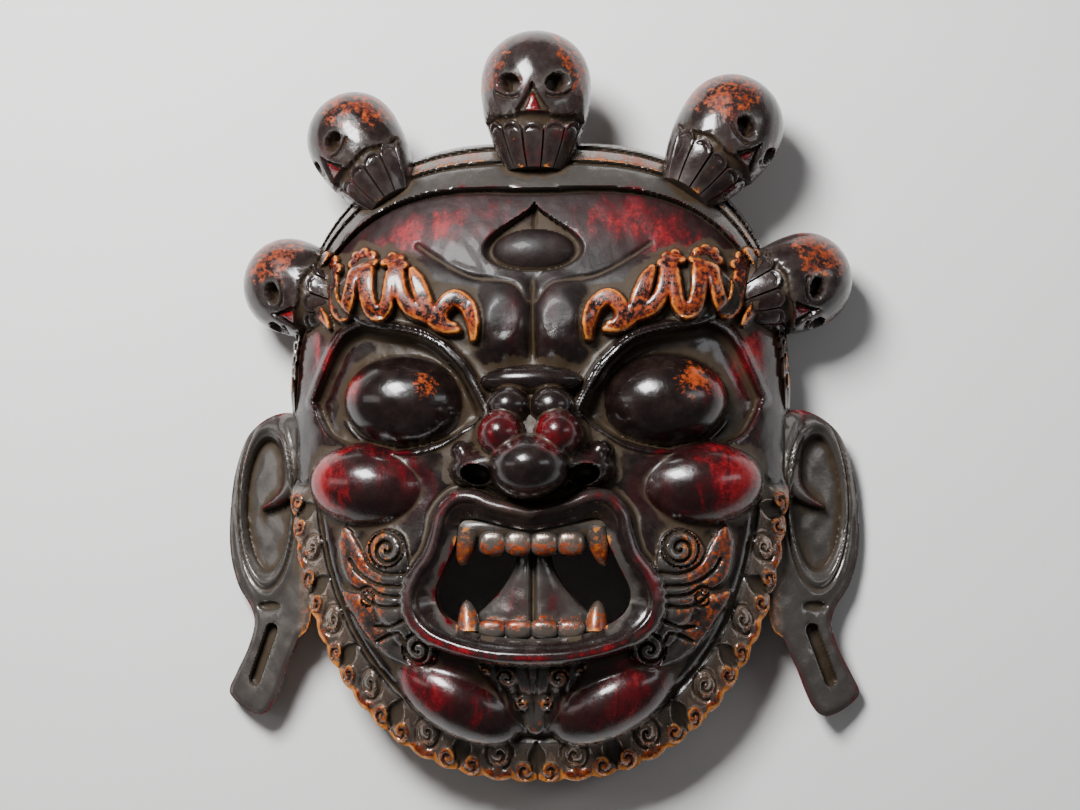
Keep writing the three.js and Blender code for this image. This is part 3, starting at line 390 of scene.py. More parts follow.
def ear_height(x, y):
    plane = 42 - (x - 182) * 0.46
    r = share(x, y, EAR_SHELL)
    bowl = smooth((1 - r) / 0.1) * 9
    groove = 3.2 * bell((r - 1.2) / 0.05) * smooth((-12 - y) / 10)
    hook = 9 * smooth((1 - hook_distance(x, y)) / 2.4)
    slot = 8 * smooth((4.5 - line_distance(x, y, EAR_SLOT)) / 1.2 + 0.5)
    cut = 4 * smooth((1 - share(x, y, LOBE_CUT)) / 0.4)
    rim = 1.6 * smooth((-signed_distance(x, y, EAR_LINE)) / 4)
    marks = 0.3 * np.sin(x / 2.9 + np.sin(y / 9)) * np.sin(y / 5.1)
    swell = 3.5 * smooth((1.45 - r) / 0.3) * smooth((r - 1) / 0.1) + 5.5 * smooth((1 - hook_distance(x, y)) / 9)
    return plane - 2.2 + rim + swell - np.maximum(0, bowl - hook) - groove - slot - cut + marks


def skull_half(y):
    top = SKULL_HALF * np.maximum(0, 1 - (np.maximum(0, y - 12) / (SKULL_END - 12)) ** 2.2) ** 0.5
    t = np.clip((12 - y) / (12 + SKULL_END), 0, 1)
    return np.where(y > 12, top, SKULL_HALF * (1 - 0.48 * t**2))


def skull_relief(s, y):
    a = np.abs(s)
    cut = 15 * smooth((1 - np.hypot((a - 19.5) / 10, (y - 6 - 0.12 * (a - 19.5)) / 7.6)) / 0.3)
    t = np.clip((6 - y) / 21, 0, 1)
    edge = 14 * t**1.4 + 1
    nose = 5 * smooth((edge - a) / 1.6) * (1 - 0.75 * smooth((edge * 0.62 - 1.5 - a) / 1.5) * smooth((t - 0.3) / 0.1))
    cut = np.where((t > 0) & (t < 1), np.maximum(cut, nose), cut)
    line = -16 + 1.2 * np.cos(a / 6.5) * (a > 14)
    jaw = smooth((line - y) / 1.2)
    off = (a + 10.5) % 21 - 10.5
    top = -22.5 - 9.5 * (1 - np.sqrt(1 - (off / 10.6) ** 2)) + 0.1 * a
    plate = smooth((top - y) / 1.4) * smooth((10.5 - np.abs(off)) / 1.0)
    inset = bell((top - 5 - y) / 1.1) * smooth((8 - np.abs(off)) / 2)
    cheekbone = 2.2 * bell((y + 4.5 - 0.02 * (a - 16) ** 2) / 1.2) * smooth((a - 9) / 3) * smooth((34 - a) / 4)
    cut = np.maximum(cut, cheekbone)
    marks = 0.12 * np.sin(s / 2.3) * np.sin(y / 3.1 + s / 9)
    return np.maximum(cut, jaw * 5) - jaw * plate * (4.5 - 1.2 * inset) + marks


# Closed solids made from grids and spheres, with their points moved by the functions above


def mesh_points(mesh):
    p = np.empty(len(mesh.vertices) * 3)
    mesh.vertices.foreach_get("co", p)
    return p.reshape(-1, 3)


def set_points(mesh, points):
    mesh.vertices.foreach_set("co", np.asarray(points, np.float32).ravel())
    mesh.update()


def new_object(name, build):
    bm = bmesh.new()
    build(bm)
    bmesh.ops.recalc_face_normals(bm, faces=bm.faces[:])
    mesh = bpy.data.meshes.new(name)
    bm.to_mesh(mesh)
    bm.free()
    obj = bpy.data.objects.new(name, mesh)
    bpy.context.scene.collection.objects.link(obj)
    return obj


def applied(obj):
    """Turns an object's modifiers into its mesh."""
    graph = bpy.context.evaluated_depsgraph_get()
    mesh = bpy.data.meshes.new_from_object(obj.evaluated_get(graph))
    obj.modifiers.clear()
    obj.data = mesh
    return obj


def relief_block(name, low, high, pitch, top, bottom):
    """A closed block over a rectangle, between two height functions."""
    size = np.subtract(high, low)
    counts = [int(math.ceil(v / pitch)) for v in size]

    def build(bm):
        bmesh.ops.create_grid(bm, x_segments=counts[0], y_segments=counts[1], size=0.5)

    obj = new_object(name, build)
    solid = obj.modifiers.new("depth", "SOLIDIFY")
    solid.thickness = 0.2
    solid.offset = 0
    applied(obj)
    p = mesh_points(obj.data)
    p[:, :2] = p[:, :2] * size + np.add(low, high) / 2
    up = p[:, 2] > 0
    p[up, 2] = top(p[up, 0], p[up, 1])
    p[~up, 2] = bottom(p[~up, 0], p[~up, 1])
    set_points(obj.data, p)
    return obj


def prism(name, outline, low, high):
    """An upright prism of a closed outline."""
    def build(bm):
        bmesh.ops.create_circle(bm, cap_ends=True, segments=len(outline), radius=1)
        for vert, (x, y) in zip(bm.verts, outline):
            vert.co = (x, y, low)
        made = bmesh.ops.extrude_face_region(bm, geom=bm.faces[:])
        verts = [g for g in made["geom"] if isinstance(g, bmesh.types.BMVert)]
        bmesh.ops.translate(bm, verts=verts, vec=(0, 0, high - low))

    return new_object(name, build)


def ball(name, x, y, z, rx, ry, rz, across=28, up=18, squeeze=1.0):
    """An ellipsoid whose sides can be squared off."""
    obj = new_object(name, lambda bm: bmesh.ops.create_uvsphere(bm, u_segments=across, v_segments=up, radius=1))
    p = mesh_points(obj.data)
    p = np.sign(p) * np.abs(p) ** squeeze
    set_points(obj.data, p * [rx, ry, rz] + [x, y, z])
    return obj


def tube(name, path, radii, turn_segments=20, wide=1.0):
    """A closed rod along a path, wider than high by the factor."""
    path, radii = np.asarray(path, float), np.asarray(radii, float)

    def build(bm):
        bmesh.ops.create_cone(bm, cap_ends=True, segments=turn_segments, radius1=1, radius2=1, depth=1)
        ends = [e for e in bm.edges if abs(e.verts[0].co.z - e.verts[1].co.z) > 0.5]
        bmesh.ops.subdivide_edges(bm, edges=ends, cuts=len(path) - 2)

    obj = new_object(name, build)
    p = mesh_points(obj.data)
    step = np.clip(np.round((p[:, 2] + 0.5) * (len(path) - 1)).astype(int), 0, len(path) - 1)
    tangent = np.gradient(path, axis=0)
    tangent /= np.linalg.norm(tangent, axis=1)[:, None]
    side = np.cross(tangent, [0.013, 0.007, 1.0])
    side /= np.linalg.norm(side, axis=1)[:, None]
    lift = np.cross(side, tangent)
    r = radii[step][:, None]
    set_points(obj.data, path[step] + (side[step] * p[:, :1] * wide + lift[step] * p[:, 1:2]) * r)
    return outward(obj)


def outward(obj):
    """Turns the faces of a closed solid outwards."""
    bm = bmesh.new()
    bm.from_mesh(obj.data)
    if bm.calc_volume(signed=True) < 0:
        bmesh.ops.reverse_faces(bm, faces=bm.faces[:])
        bm.to_mesh(obj.data)
    bm.free()
    return obj


def head_outline(steps=900):
    angle = np.arange(steps) / steps * 2 * math.pi
    dx, dy = np.cos(angle), np.sin(angle)
    reach = 1 / head_share(dx, MID_Y + dy)
    x, y = dx * reach, MID_Y + dy * reach
    along = np.interp(beard_angle(x, y), JAW_ANGLES, JAW_LENGTHS) / BEARD_UNIT * 3
    cut = smooth((BEARD_START - y) / 12) * 3 * (1 - np.abs(np.sin(along * math.pi)))
    return np.column_stack([x - dx * cut, y - dy * cut])


def make_skull(index):
    (ax, ay, az), tilt, turn, lean, size, side = SKULLS[index]

    def build(bm):
        bmesh.ops.create_uvsphere(bm, u_segments=200, v_segments=140, radius=1)

    obj = new_object(f"skull_{index}", build)
    p = mesh_points(obj.data)
    y = p[:, 2] * SKULL_END
    angle = np.arctan2(p[:, 0], -p[:, 1])
    r = skull_half(y) * smooth((1 - np.abs(p[:, 2])) / 1e-4)
    front = smooth((2.1 - np.abs(angle)) / 0.4)
    r = np.maximum(0, r - front * skull_relief(angle * SKULL_HALF, y) * (r > 1))
    local = np.column_stack([r * np.sin(angle), y, r * np.cos(angle) * 0.95]) * size
    set_points(obj.data, local @ np.array(skull_turn(index)).T + [side * ax, ay, az])
    return obj


def skull_turn(index):
    _, tilt, turn, lean, _, side = SKULLS[index]
    return (Matrix.Rotation(-side * tilt, 3, "Z") @ Matrix.Rotation(-lean, 3, "X")
            @ Matrix.Rotation(side * turn, 3, "Y"))


def tongue_half(y):
    return 12.5 + 27.5 * np.clip((-113 - y) / 42, 0, 1) ** 1.8


def tongue_top(x, y):
    s = np.clip(np.abs(x) / tongue_half(y), 0, 1)
    return 94 + 9 * np.sqrt(1 - 0.98 * s * s) - 6 * bell(x / 2.4) - 0.3 * np.sin(y / 3) * np.sin(x / 4)


def make_mouth():
    """Gums, teeth and the tongue that joins them."""
    parts = []
    t = np.linspace(-1, 1, 25)
    for name, y, half, level in (("upper_gum", -93.5, 62, 101), ("lower_gum", -175, 66, 99)):
        path = np.column_stack([t * half, np.full(25, y), level + 8 * (1 - t * t)])
        parts.append(tube(name, path, np.full(25, 9.5), 28, 1.0))
    for name, y, high, up in (("upper", -105, 9.5, 1), ("lower", -167, 7.5, -1)):
        for k, x in enumerate((-28.2, -9.4, 9.4, 28.2)):
            bow = 104 + 8 * (1 - (x / 62) ** 2)
            parts.append(ball(f"{name}_tooth_{k}", x, y, bow + 0.5, 10.6, high, 8.6, 40, 28, squeeze=0.68))
            parts.append(ball(f"{name}_gum_{k}", x, y + up * 10, bow - 3, 9.8, 7.5, 9.5))
    for side in (-1, 1):
        for name, y, up, length in (("upper", -93, -1, 28), ("lower", -169, 1, 23)):
            s = np.linspace(0, 1, 14)
            lean = side * (0.16 if up < 0 else 0.02)
            path = np.column_stack([side * 46 + lean * s * length + side * 1.5 * s**2, y + up * s * length,
                                    109 - 0.12 * s * length])
            parts.append(tube(f"{name}_fang_{side}", path, 8.6 * np.sqrt(np.maximum(0.006, 1 - s**1.7)), 22))
    low, high = (-45, -181), (45, -97)
    tongue = relief_block("tongue", low, high, 1.2, tongue_top, lambda x, y: np.full(x.shape, 77.0))
    y = np.linspace(-172, -100, 40)
    half = tongue_half(y)
    edge = np.vstack([np.column_stack([half, y]), np.column_stack([-half[::-1], y[::-1]])])
    combine(tongue, [prism("tongue_edge", edge, 0, 300)], "INTERSECT")
    parts.append(tongue)
    return parts


def make_ear(side):
    ear = relief_block(f"ear_{side}", (165, -238), (248, 2), 1.0, ear_height, lambda x, y: 29 - (x - 182) * 0.46)
    combine(ear, [prism(f"ear_edge_{side}", EAR_LINE[:-1], -40, 100)], "INTERSECT")
    if side < 0:
        p = mesh_points(ear.data)
        set_points(ear.data, p * [-1, 1, 1])
        ear.data.flip_normals()
    return ear


def combine(base, others, operation):
    """Applies booleans with the other objects, which are then removed."""
    for other in others:
        step = base.modifiers.new(other.name, "BOOLEAN")
        step.operation = operation
        step.solver = "MANIFOLD"
        step.object = other
    applied(base)
    for other in others:
        bpy.data.objects.remove(other)
    return base


def hollow_room():
    """The room of the hollow with a margin into the wall."""
    def roof(x, y):
        height = hollow(x, y)
        return np.where(height > 0, height + HOLLOW_MARGIN, -HOLLOW_MARGIN)

    return relief_block("hollow_room", (-HEAD_HALF, MID_Y - CHIN), (HEAD_HALF, MID_Y + CROWN), 3.0, roof,
                        lambda x, y: np.full(x.shape, -10.0 * HOLLOW_MARGIN))


def make_mask():
    block = relief_block("carved_mask", (-194, -285), (194, 200), PITCH, face, hollow)
    combine(block, [prism("edge", head_outline(), -1, 400)], "INTERSECT")
    combine(block, [prism("mouth", OPENING_LINE[:-1], -1, 400)], "DIFFERENCE")
    skulls = [combine(make_skull(k), [hollow_room()], "DIFFERENCE") for k in range(5)]
    parts = [*make_mouth(), make_ear(1), make_ear(-1), *skulls]
    combine(block, parts, "UNION")
    count = sum(len(poly.vertices) - 2 for poly in block.data.polygons)
    if count > BUDGET:
        thin = block.modifiers.new("thin", "DECIMATE")
        thin.ratio = BUDGET / count
        applied(block)
    return block


# Painting: where the lacquer is rubbed to red or gold, where dust lies, what the carver blackened, and where a
# painted sheen stands for reflected light

# Teeth and fangs of one side from the front: centre and half-sizes
TEETH = [(9.4, -106, 9, 9), (28.2, -106, 9, 9), (48, -110, 9, 17),
         (9.4, -164, 9, 8), (28.2, -164, 9, 8), (47, -158, 9, 13)]
# Crimson areas: strength, then centre, half-sizes and turn
RED_SPOTS = [(0.8, (62, 134, 62, 26, -0.1)), (0.72, (170, 45, 24, 75, -0.1)), (0.6, (112, 116, 50, 20, -0.3)),
             (0.55, (150, 30, 16, 26, -0.5)), (0.5, (150, -80, 14, 40, -0.2)), (0.5, (45, -42, 14, 10))]


def mean_of_neighbours(values, edges, counts):
    total = np.zeros_like(values)
    for k in range(values.shape[1]):
        total[:, k] = (np.bincount(edges[:, 0], values[edges[:, 1], k], len(values))
                       + np.bincount(edges[:, 1], values[edges[:, 0], k], len(values)))
    return total / counts[:, None]


def convexity(mesh):
    """How far each point stands out of its surroundings, at a small and a large scale."""
    p = mesh_points(mesh)
    n = np.empty(len(p) * 3)
    mesh.vertices.foreach_get("normal", n)
    n = n.reshape(-1, 3)
    edges = np.empty(len(mesh.edges) * 2, int)
    mesh.edges.foreach_get("vertices", edges)
    edges = edges.reshape(-1, 2)
    counts = np.maximum(1, np.bincount(edges.ravel(), minlength=len(p)))
    out, smoothed = [], p
    for rounds in (4, 22):
        for _ in range(rounds):
            smoothed = mean_of_neighbours(smoothed, edges, counts)
        out.append(((p - smoothed) * n).sum(1))
    return out


def spot(x, y, cx, cy, rx, ry, turn=0.0):
    c, s = math.cos(turn), math.sin(turn)
    u, v = (x - cx) * c + (y - cy) * s, (y - cy) * c - (x - cx) * s
    return bell(np.hypot(u / rx, v / ry))


def paint_skulls(p):
    """Where the skulls are, their gilded crowns, red noses and dusty sockets."""
    skull, crown, nose, dusty = (np.zeros(len(p)) for _ in range(4))
    for index, (at, _, _, _, size, side) in enumerate(SKULLS):
        local = (p - np.array([side * at[0], at[1], at[2]])) @ np.array(skull_turn(index)) / size
        r = np.hypot(local[:, 0], local[:, 2] / 0.95)
        on = (np.abs(local[:, 1]) < SKULL_END + 1) & (r < skull_half(local[:, 1]) + 1.2)
        skull[on] = 1
        s, up = np.arctan2(local[:, 0], local[:, 2]) * SKULL_HALF, local[:, 1]
        off = np.abs(s)
        socket = np.hypot((off - 19.5) / 10, (up - 6) / 8)
        high = smooth((up + 14) / 20) * smooth((socket - 1.25) / 0.3) * (0.3 + 0.7 * smooth((off - 8) / 26))
        plates = 0.55 * smooth((-26 - up) / 4) * bell((off - 21) / 6)
        crown[on] = (high + plates)[on]
        nose[on] = (dome(s, up, 0, -10, 8, 6.5) > 0)[on]
        in_socket = 0.9 * smooth((1.02 - socket) / 0.12) * smooth((9 - up) / 5)
        dusty[on] = np.maximum(in_socket, 0.5 * bell((up + 17) / 2.2))[on]
    return skull, crown, nose, dusty


def near_teeth(a, y):
    """On one of the teeth or fangs, seen from the front."""
    return np.maximum.reduce([dome(a, y, *tooth) for tooth in TEETH]) > 0


def paint(mesh):
    """Stores, for each point, how much of each wear and colour it has, and how much painted sheen."""
    p = mesh_points(mesh)
    x, y, z = p[:, 0], p[:, 1], p[:, 2]
    a = np.abs(x)
    fine, broad = convexity(mesh)
    n = np.empty(len(p) * 3)
    mesh.vertices.foreach_get("normal", n)
    facing = n.reshape(-1, 3)[:, 2]

    # The areas of the carving
    skull, skull_crown, skull_nose, dusty = paint_skulls(p)
    ear = smooth((a - 180) / 4) * (1 - skull) * (y < 8) * (z < ear_height(a, y) + 2)
    top = (1 - skull) * (1 - ear) * smooth((facing + 0.1) / 0.2)
    flank = smooth((0.5 - facing) / 0.25) * smooth((head_share(x, y) - 0.95) / 0.02) * (1 - skull)
    lips = signed_distance(a, y, LIP_LINE)
    in_mouth = smooth(-signed_distance(x, y, OPENING_LINE) / 2 + 0.5)
    teeth = near_teeth(a, y) * (z > 98) * (lips < -7) * (1 - skull)
    tooth_ends = smooth((np.minimum(np.abs(y + 112), np.abs(y + 161)) < 7) + 0.55)
    beard = smooth((BEARD_START + 5 - y) / 8) * smooth((head_share(x, y) - BEARD_IN) / 0.01) * (1 - ear)
    u, v = beard_place(x, y)
    curls, recess = beard_relief(u, v), beard_recess(u, v)
    whisker = smooth((1 - signed_distance(a, y, WHISKER_LINE)) / 2) * top
    brow_distance = brow_place(a, y)
    brow = smooth((1 - brow_distance) / 2) * top * (y > 40)
    brow_edge = bell((brow_distance + 0.5) / 1.4) * top
    tuft_half = 44 * np.clip(1 - (-190 - y) / 56, 0, 1) ** 0.8
    tuft = smooth((tuft_half - a) / 2) * (y < -190) * (y > -246) * (share(a, y, CHIN_BALL) > 1)
    t = band_place(x, y)
    band = smooth(t / 0.04 + 0.5) * (y > 10) * (1 - skull)
    middle_strip = band * smooth((t - 0.52) / 0.03) * smooth((0.78 - t) / 0.03)
    eye = smooth((1 - np.minimum(share(a, y, EYEBALL), share(a, y, EYE_CORNER))) / 0.04) * top
    shell = share(a, y, EAR_SHELL)

    # Gilding
    gold = brow * (0.7 - 0.2 * smooth((a - 120) / 40)) + 0.4 * brow_edge
    gold += 0.62 * whisker * smooth((a - 98) / 22 + 0.15) + 0.5 * tuft
    gold += beard * (1 - recess) * (0.12 + smooth((v - 9) / 8) * (0.4 + 0.45 * smooth((curls - 0.5) / 0.3)))
    gold += 0.66 * skull * skull_crown + 0.7 * middle_strip * (0.45 + 0.55 * bell((a - 75) / 40))
    gold += 0.72 * teeth * tooth_ends
    gold *= 1 - 0.93 * flank * smooth((BEARD_LEVEL - BEARD_FALL - 1 - z) / 5)

    # Crimson
    cheek = smooth((1.0 - share(a, y, CHEEK)) / 0.12)
    red = 0.66 * cheek * (0.86 + 0.26 * smooth((y + 72) / 40) + 0.2 * smooth((a - 118) / 25))
    red += 0.75 * smooth((1.1 - share(a, y, NOSE_BALL)) / 0.15) + 0.5 * bell((y + 68) / 7) * bell(a / 16)
    red += 0.72 * smooth((1.0 - share(a, y, CHIN_BALL)) / 0.15) * (0.82 + 0.3 * smooth((a - 45) / 30))
    red += 0.7 * bell((a - 13) / 8) * bell((y - 62) / 30)
    red += 1.0 * bell((lips - 1) / 4.5) * (0.6 + 0.4 * smooth((-150 - y) / 20))
    for amount, place in RED_SPOTS:
        red += amount * spot(a, y, *place)
    red += 0.7 * spot(a, y, 14, -148, 13, 22) * in_mouth
    red = red * top * (1 - beard) + 0.6 * skull_nose + 0.35 * skull
    red *= 1 - 0.85 * flank
    ear_edge = bell(signed_distance(a, y, EAR_LINE) / 7) * smooth((facing - 0.1) / 0.5)
    hook = bell((hook_distance(a, y) + 1) / 3) * smooth((a - 186) / 6)
    red += ear * (0.5 * ear_edge + 0.75 * hook)
    eye_side = spot(a, y, 134, 10, 12, 20)
    red += 0.9 * eye_side * eye

    # Orange rubbed through the black of the eyes
    ember = spot(x, y, 118, 14, 17, 16) + 0.85 * spot(x, y, -78, 9, 14, 12) + 0.7 * spot(x, y, -134, 14, 7, 9)
    ember *= eye
    black = eye * (1 - np.clip(ember + eye_side, 0, 1))

    # Dust in the recesses
    dusty += beard * (0.85 * recess + 0.35 * bell((v - 0.5) / 2))
    dusty += 0.4 * bell(x / 3.5) * smooth((40 - np.abs(y - 52)) / 20)
    around_third_eye = smooth((1 - third_eye(a, y)) / 0.1) * smooth((share(a, y, THIRD_EYEBALL) - 0.98) / 0.05)
    dusty += 0.55 * around_third_eye * (1 - skull)
    dusty += 0.5 * spot(a, y, 0, -82, 34, 7) + 0.45 * in_mouth * bell(x / 2.2) * (z > 90)
    dusty += 0.4 * smooth((1.02 - shell) / 0.03) * ear * smooth((shell - 0.8) / 0.1)

    # Bare wood behind, the painted sheen (lacquer lightened to stand for reflected light) and the matt forehead
    behind = smooth((-facing - 0.2) / 0.3) * (z < 92)
    hollow_side = smooth((0.9 - head_share(x, y)) / 0.02) * (z < hollow(x, y) + 2.5)
    # Painted sheen: how strongly the lacquer is lightened to stand for the lamps' reflection
    painted_sheen = 0.85 * ear + 0.8 * band + beard * (1.5 - 0.7 * recess) + in_mouth * (z > 96) * (0.6 + 0.9 * teeth)
    painted_sheen += 0.3 * skull + 0.45 * whisker + 0.9 * tuft + 0.3 * bell((lips - 2) / 5) + 0.4 * middle_strip
    matt = smooth((1.1 - np.hypot(a / 150, (y - 118) / 62)) / 0.2) * (1 - band) * (1 - brow)

    values = {"fine": fine, "broad": broad, "gold": gold, "red": red, "ember": ember, "black": black,
              "bare": np.clip(np.maximum(behind, hollow_side), 0, 1), "painted_sheen": np.clip(painted_sheen, 0, 1.5),
              "matt": np.clip(matt, 0, 1), "dusty": np.clip(dusty, 0, 1)}
    for name, value in values.items():
        layer = mesh.attributes.new(name, "FLOAT", "POINT")
        layer.data.foreach_set("value", np.asarray(value, np.float32))


# Materials


class Socket:
    """A node output with arithmetic."""

    def __init__(self, tree, output):
        self.tree, self.output = tree, output

    def node(self, kind, settings=None, **inputs):
        node = self.tree.nodes.new(kind)
        for key, value in (settings or {}).items():
            setattr(node, key, value)
        for key, value in inputs.items():
            name = int(key[1:]) if key[0] == "i" and key[1:].isdigit() else key.replace("_", " ")
            feed(self.tree, value, node.inputs[name])
        return node

    def math(self, operation, *values):
        node = self.tree.nodes.new("ShaderNodeMath")
        node.operation = operation
        for socket, value in zip(node.inputs, values):
            feed(self.tree, value, socket)
        return Socket(self.tree, node.outputs[0])

    def __add__(self, other):
        return self.math("ADD", self, other)

    def __sub__(self, other):
        return self.math("SUBTRACT", self, other)

    def __mul__(self, other):
        return self.math("MULTIPLY", self, other)

    def __rsub__(self, other):
        return self.math("SUBTRACT", other, self)

    __radd__, __rmul__ = __add__, __mul__

    def ramp(self, low, high):
        """Smooth step from low to high."""
        node = self.node("ShaderNodeMapRange", {"interpolation_type": "SMOOTHSTEP"}, Value=self)
        node.inputs["From Min"].default_value = low
        node.inputs["From Max"].default_value = high
        return Socket(self.tree, node.outputs["Result"])


def feed(tree, value, socket):
    if isinstance(value, Socket):
        tree.links.new(value.output, socket)
    else:
        socket.default_value = value


def blend(tree, factor, a, b):
    node = tree.nodes.new("ShaderNodeMix")
    node.data_type = "RGBA"
    for value, socket in ((factor, node.inputs[0]), (a, node.inputs[6]), (b, node.inputs[7])):
        feed(tree, (*value, 1) if isinstance(value, tuple) else value, socket)
    return Socket(tree, node.outputs[2])


def new_material(name):
    material = bpy.data.materials.new(name)
    material.use_nodes = True
    tree = material.node_tree
    shader = tree.nodes["Principled BSDF"]
    place = Socket(tree, tree.nodes.new("ShaderNodeTexCoord").outputs["Object"])
    return material, tree, shader, place


def noise(place, scale, detail=4.0, rough=0.6, stretch=None, distortion=0.0):
    if stretch:
        place = Socket(place.tree, place.node("ShaderNodeMapping", None, Vector=place, Scale=stretch).outputs[0])
    node = place.node("ShaderNodeTexNoise", None, Vector=place, Scale=scale, Detail=detail, Roughness=rough,
                      Distortion=distortion)
    return Socket(place.tree, node.outputs[0])


def painted(tree, name):
    node = tree.nodes.new("ShaderNodeAttribute")
    node.attribute_name = name
    return Socket(tree, node.outputs["Fac"])


def lacquered_wood():
    material, tree, shader, place = new_material("lacquered_wood")
    fine, broad = painted(tree, "fine"), painted(tree, "broad")
    gold, red, ember = painted(tree, "gold"), painted(tree, "red"), painted(tree, "ember")
    black, bare, painted_sheen = painted(tree, "black"), painted(tree, "bare"), painted(tree, "painted_sheen")
    dusty, matt = painted(tree, "dusty"), painted(tree, "matt")

    cloud = noise(place, 22, 5, 0.62)
    mottle = noise(place, 75, 6, 0.68)
    grain = noise(place, 260, 5, 0.7)
    brush = noise(place, 60, 6, 0.7, (1.0, 0.22, 1.0), 0.6)
    wood = noise(place, 30, 7, 0.65, (1.0, 0.08, 1.0), 0.4)

    dark = blend(tree, mottle.ramp(0.35, 0.7), (0.0055, 0.003, 0.0027), (0.015, 0.0085, 0.007))
    # Painted sheen: a lighter grey for the lamps' reflection on the lacquer, stronger on raised edges; the same mask
    # also raises Metallic
    polish_and_painted_sheen = (painted_sheen * 0.75 + fine * 0.22 + cloud * 0.5 + mottle * 0.35).ramp(0.55, 1.35)
    polish_and_painted_sheen = polish_and_painted_sheen * (1 - 0.8 * matt)
    dark = blend(tree, polish_and_painted_sheen, dark, (0.105, 0.094, 0.085))
    # Painted silver sheen: a warm light grey standing for the lamps' reflection where the painted sheen is strongest;
    # it also raises Metallic
    painted_silver_sheen = painted_sheen.ramp(0.95, 1.5) * (cloud + mottle * 0.6).ramp(0.5, 1.0)
    dark = blend(tree, painted_silver_sheen, dark, (0.3, 0.215, 0.165))
    blush = red.ramp(0.1, 0.85) * (cloud * 0.7 + brush * 0.5).ramp(0.3, 0.85)
    colour = blend(tree, blush * (1 - black * 0.7), dark, (0.026, 0.0014, 0.0028))
    rub = (red * 0.5 + brush * 1.3 + cloud * 0.8 + fine * 0.1).ramp(1.36, 1.66)
    colour = blend(tree, rub * (1 - black * 0.7), colour, (0.07, 0.0017, 0.004))
    bright = (red * 0.5 + brush * 1.1 + grain * 0.9).ramp(1.42, 1.68) * rub
    colour = blend(tree, bright * (1 - black), colour, (0.2, 0.006, 0.009))

    wear = (gold * 0.7 + mottle * 0.75 + grain * 1.1 + fine * 0.14).ramp(1.34, 1.56)
    wear = wear * gold.ramp(0.05, 0.3)
    worn_gold_and_edge_highlight = blend(tree, grain.ramp(0.4, 0.74), (0.085, 0.007, 0.003), (0.38, 0.066, 0.008))
    # Brighter gold on raised edges: partly real wear of the gilding, partly a painted highlight
    worn_gold_and_edge_highlight = blend(tree, (fine * 0.5 + grain * 0.9).ramp(0.75, 1.35), worn_gold_and_edge_highlight, (0.56, 0.19, 0.032))
    colour = blend(tree, wear, colour, worn_gold_and_edge_highlight)
    glow = (ember * 0.55 + mottle * 0.8 + grain * 1.1).ramp(1.25, 1.5) * ember.ramp(0.1, 0.5)
    colour = blend(tree, glow, colour, (0.34, 0.055, 0.009))

    crevice = (fine * -1.3 + broad * -0.08 + mottle * 0.35).ramp(0.38, 1.0)
    settled = (broad * -0.14 + cloud * 0.5).ramp(0.6, 1.4) * 0.3
    laid = dusty * (mottle * 1.1).ramp(0.25, 0.7)
    dust = crevice.math("MAXIMUM", crevice.math("MAXIMUM", crevice, settled), laid)
    colour = blend(tree, dust * 0.75, colour, (0.044, 0.029, 0.0155))
    raw = blend(tree, wood.ramp(0.3, 0.7), (0.035, 0.019, 0.011), (0.095, 0.055, 0.032))
    colour = blend(tree, bare, colour, raw)
    feed(tree, colour, shader.inputs["Base Color"])

    rough = 0.14 + mottle * 0.14 + grain * 0.1 + dust * 0.2 + wear * 0.12 + matt * 0.28
    rough = rough - black * 0.05 + bare * 0.45
    feed(tree, rough.math("MINIMUM", rough, 0.95), shader.inputs["Roughness"])
    clean = (1 - dust) * (1 - bare)
    metal = polish_and_painted_sheen * clean * (1 - rub) * (1 - wear * 0.6) * (1 - black) * (0.6 + painted_silver_sheen * 0.32)
    feed(tree, metal, shader.inputs["Metallic"])
    shader.inputs["Specular IOR Level"].default_value = 0.34
    feed(tree, 0.55 * clean * (1 - 0.85 * matt), shader.inputs["Coat Weight"])
    shader.inputs["Coat Roughness"].default_value = 0.12

    tool = noise(place, 40, 1.5, 0.45)
    height = grain * 0.00016 + mottle * 0.0007 + brush * 0.0004 + tool * 0.0034
    height = height - wear * 0.00015 + bare * wood * 0.0012
    bump = place.node("ShaderNodeBump", None, Height=height, Strength=0.6, Distance=1.0)
    tree.links.new(bump.outputs[0], shader.inputs["Normal"])
    return material


def pale_floor():
    material, tree, shader, place = new_material("pale_floor")
    tone = noise(place, 3, 3, 0.5)
    feed(tree, blend(tree, tone, (0.70, 0.695, 0.685), (0.76, 0.755, 0.745)), shader.inputs["Base Color"])
    shader.inputs["Roughness"].default_value = 0.75
    return material


# The piece

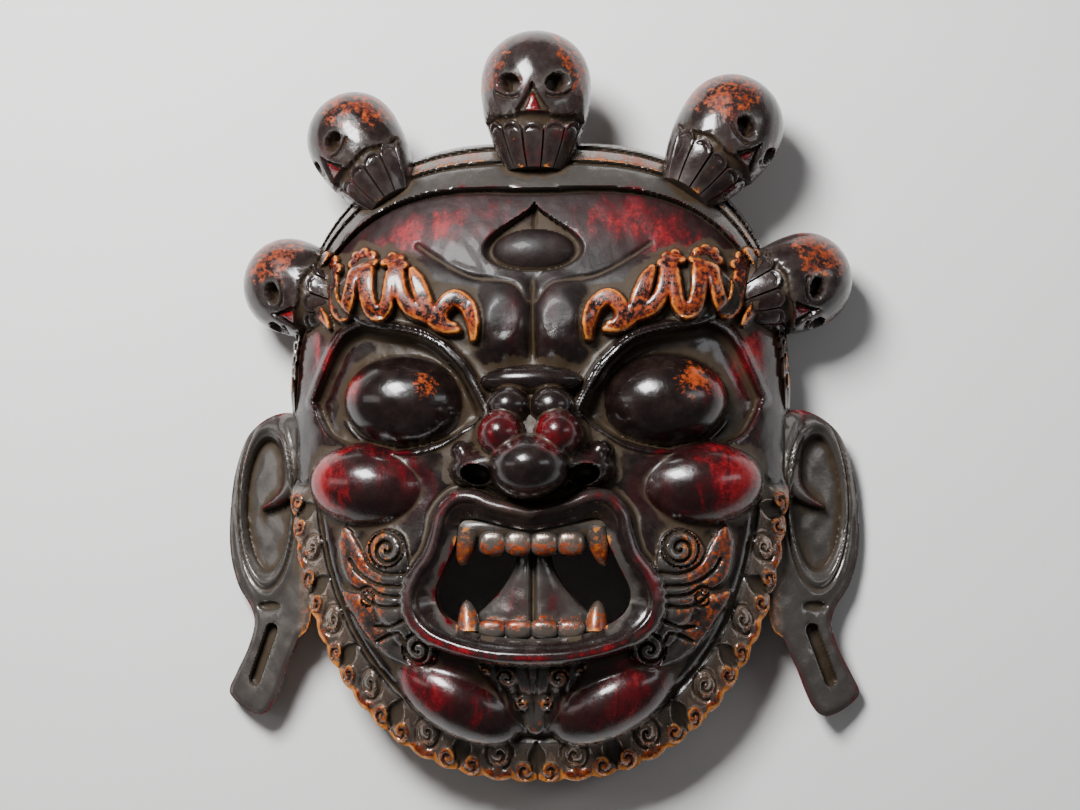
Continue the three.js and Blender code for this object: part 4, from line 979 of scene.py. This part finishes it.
mask = make_mask()
paint(mask.data)
points = mesh_points(mask.data)
set_points(mask.data, (points + [0, SHIFT_Y, 0]) / 1000)
mask.data.materials.clear()
mask.data.materials.append(lacquered_wood())
mask.data.polygons.foreach_set("use_smooth", np.ones(len(mask.data.polygons), bool))
mask.data.set_sharp_from_angle(angle=math.radians(55))
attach(mask, "root")
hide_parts("bhairava_mask")

# Floor, lights and camera


def make_floor():
    def build(bm):
        bmesh.ops.create_grid(bm, x_segments=1, y_segments=1, size=6)

    floor = new_object("floor", build)
    floor.data.materials.append(pale_floor())


def add_light(name, place, size, energy, colour=(1, 1, 1)):
    light = bpy.data.lights.new(name, "AREA")
    light.shape = "RECTANGLE"
    light.size, light.size_y = size
    light.energy = energy
    light.color = colour
    obj = bpy.data.objects.new(name, light)
    obj.location = place
    obj.rotation_euler = (Vector((0, 0, 0.05)) - Vector(place)).to_track_quat("-Z", "Y").to_euler()
    bpy.context.scene.collection.objects.link(obj)


def make_camera():
    across, up = math.radians(4), math.radians(5)
    back = Vector((math.sin(across) * math.cos(up), -math.sin(up), math.cos(across) * math.cos(up)))
    right = Vector((0, 1, 0)).cross(back).normalized()
    head = back.cross(right)
    data = bpy.data.cameras.new("camera")
    data.sensor_width = 36
    data.lens = 36 * 1.7 / 0.81
    camera = bpy.data.objects.new("camera", data)
    camera.matrix_world = Matrix((right, head, back)).transposed().to_4x4()
    camera.location = Vector((0.00225, SHIFT_Y / 1000, 0.06)) + back * 1.7
    bpy.context.scene.collection.objects.link(camera)
    bpy.context.scene.camera = camera


make_floor()
add_light("key", (-0.5, 0.8, 1.35), (0.5, 0.6), 66)
add_light("left", (-1.4, 0.1, 0.9), (0.35, 0.9), 2, (1.0, 0.98, 0.95))
add_light("right", (1.4, 0.3, 1.0), (0.35, 0.9), 3, (0.95, 0.97, 1.0))
world = bpy.data.worlds.new("studio")
bpy.context.scene.world = world
world.use_nodes = True
world.node_tree.nodes["Background"].inputs["Color"].default_value = (0.8, 0.82, 0.85, 1)
world.node_tree.nodes["Background"].inputs["Strength"].default_value = 0.12
make_camera()
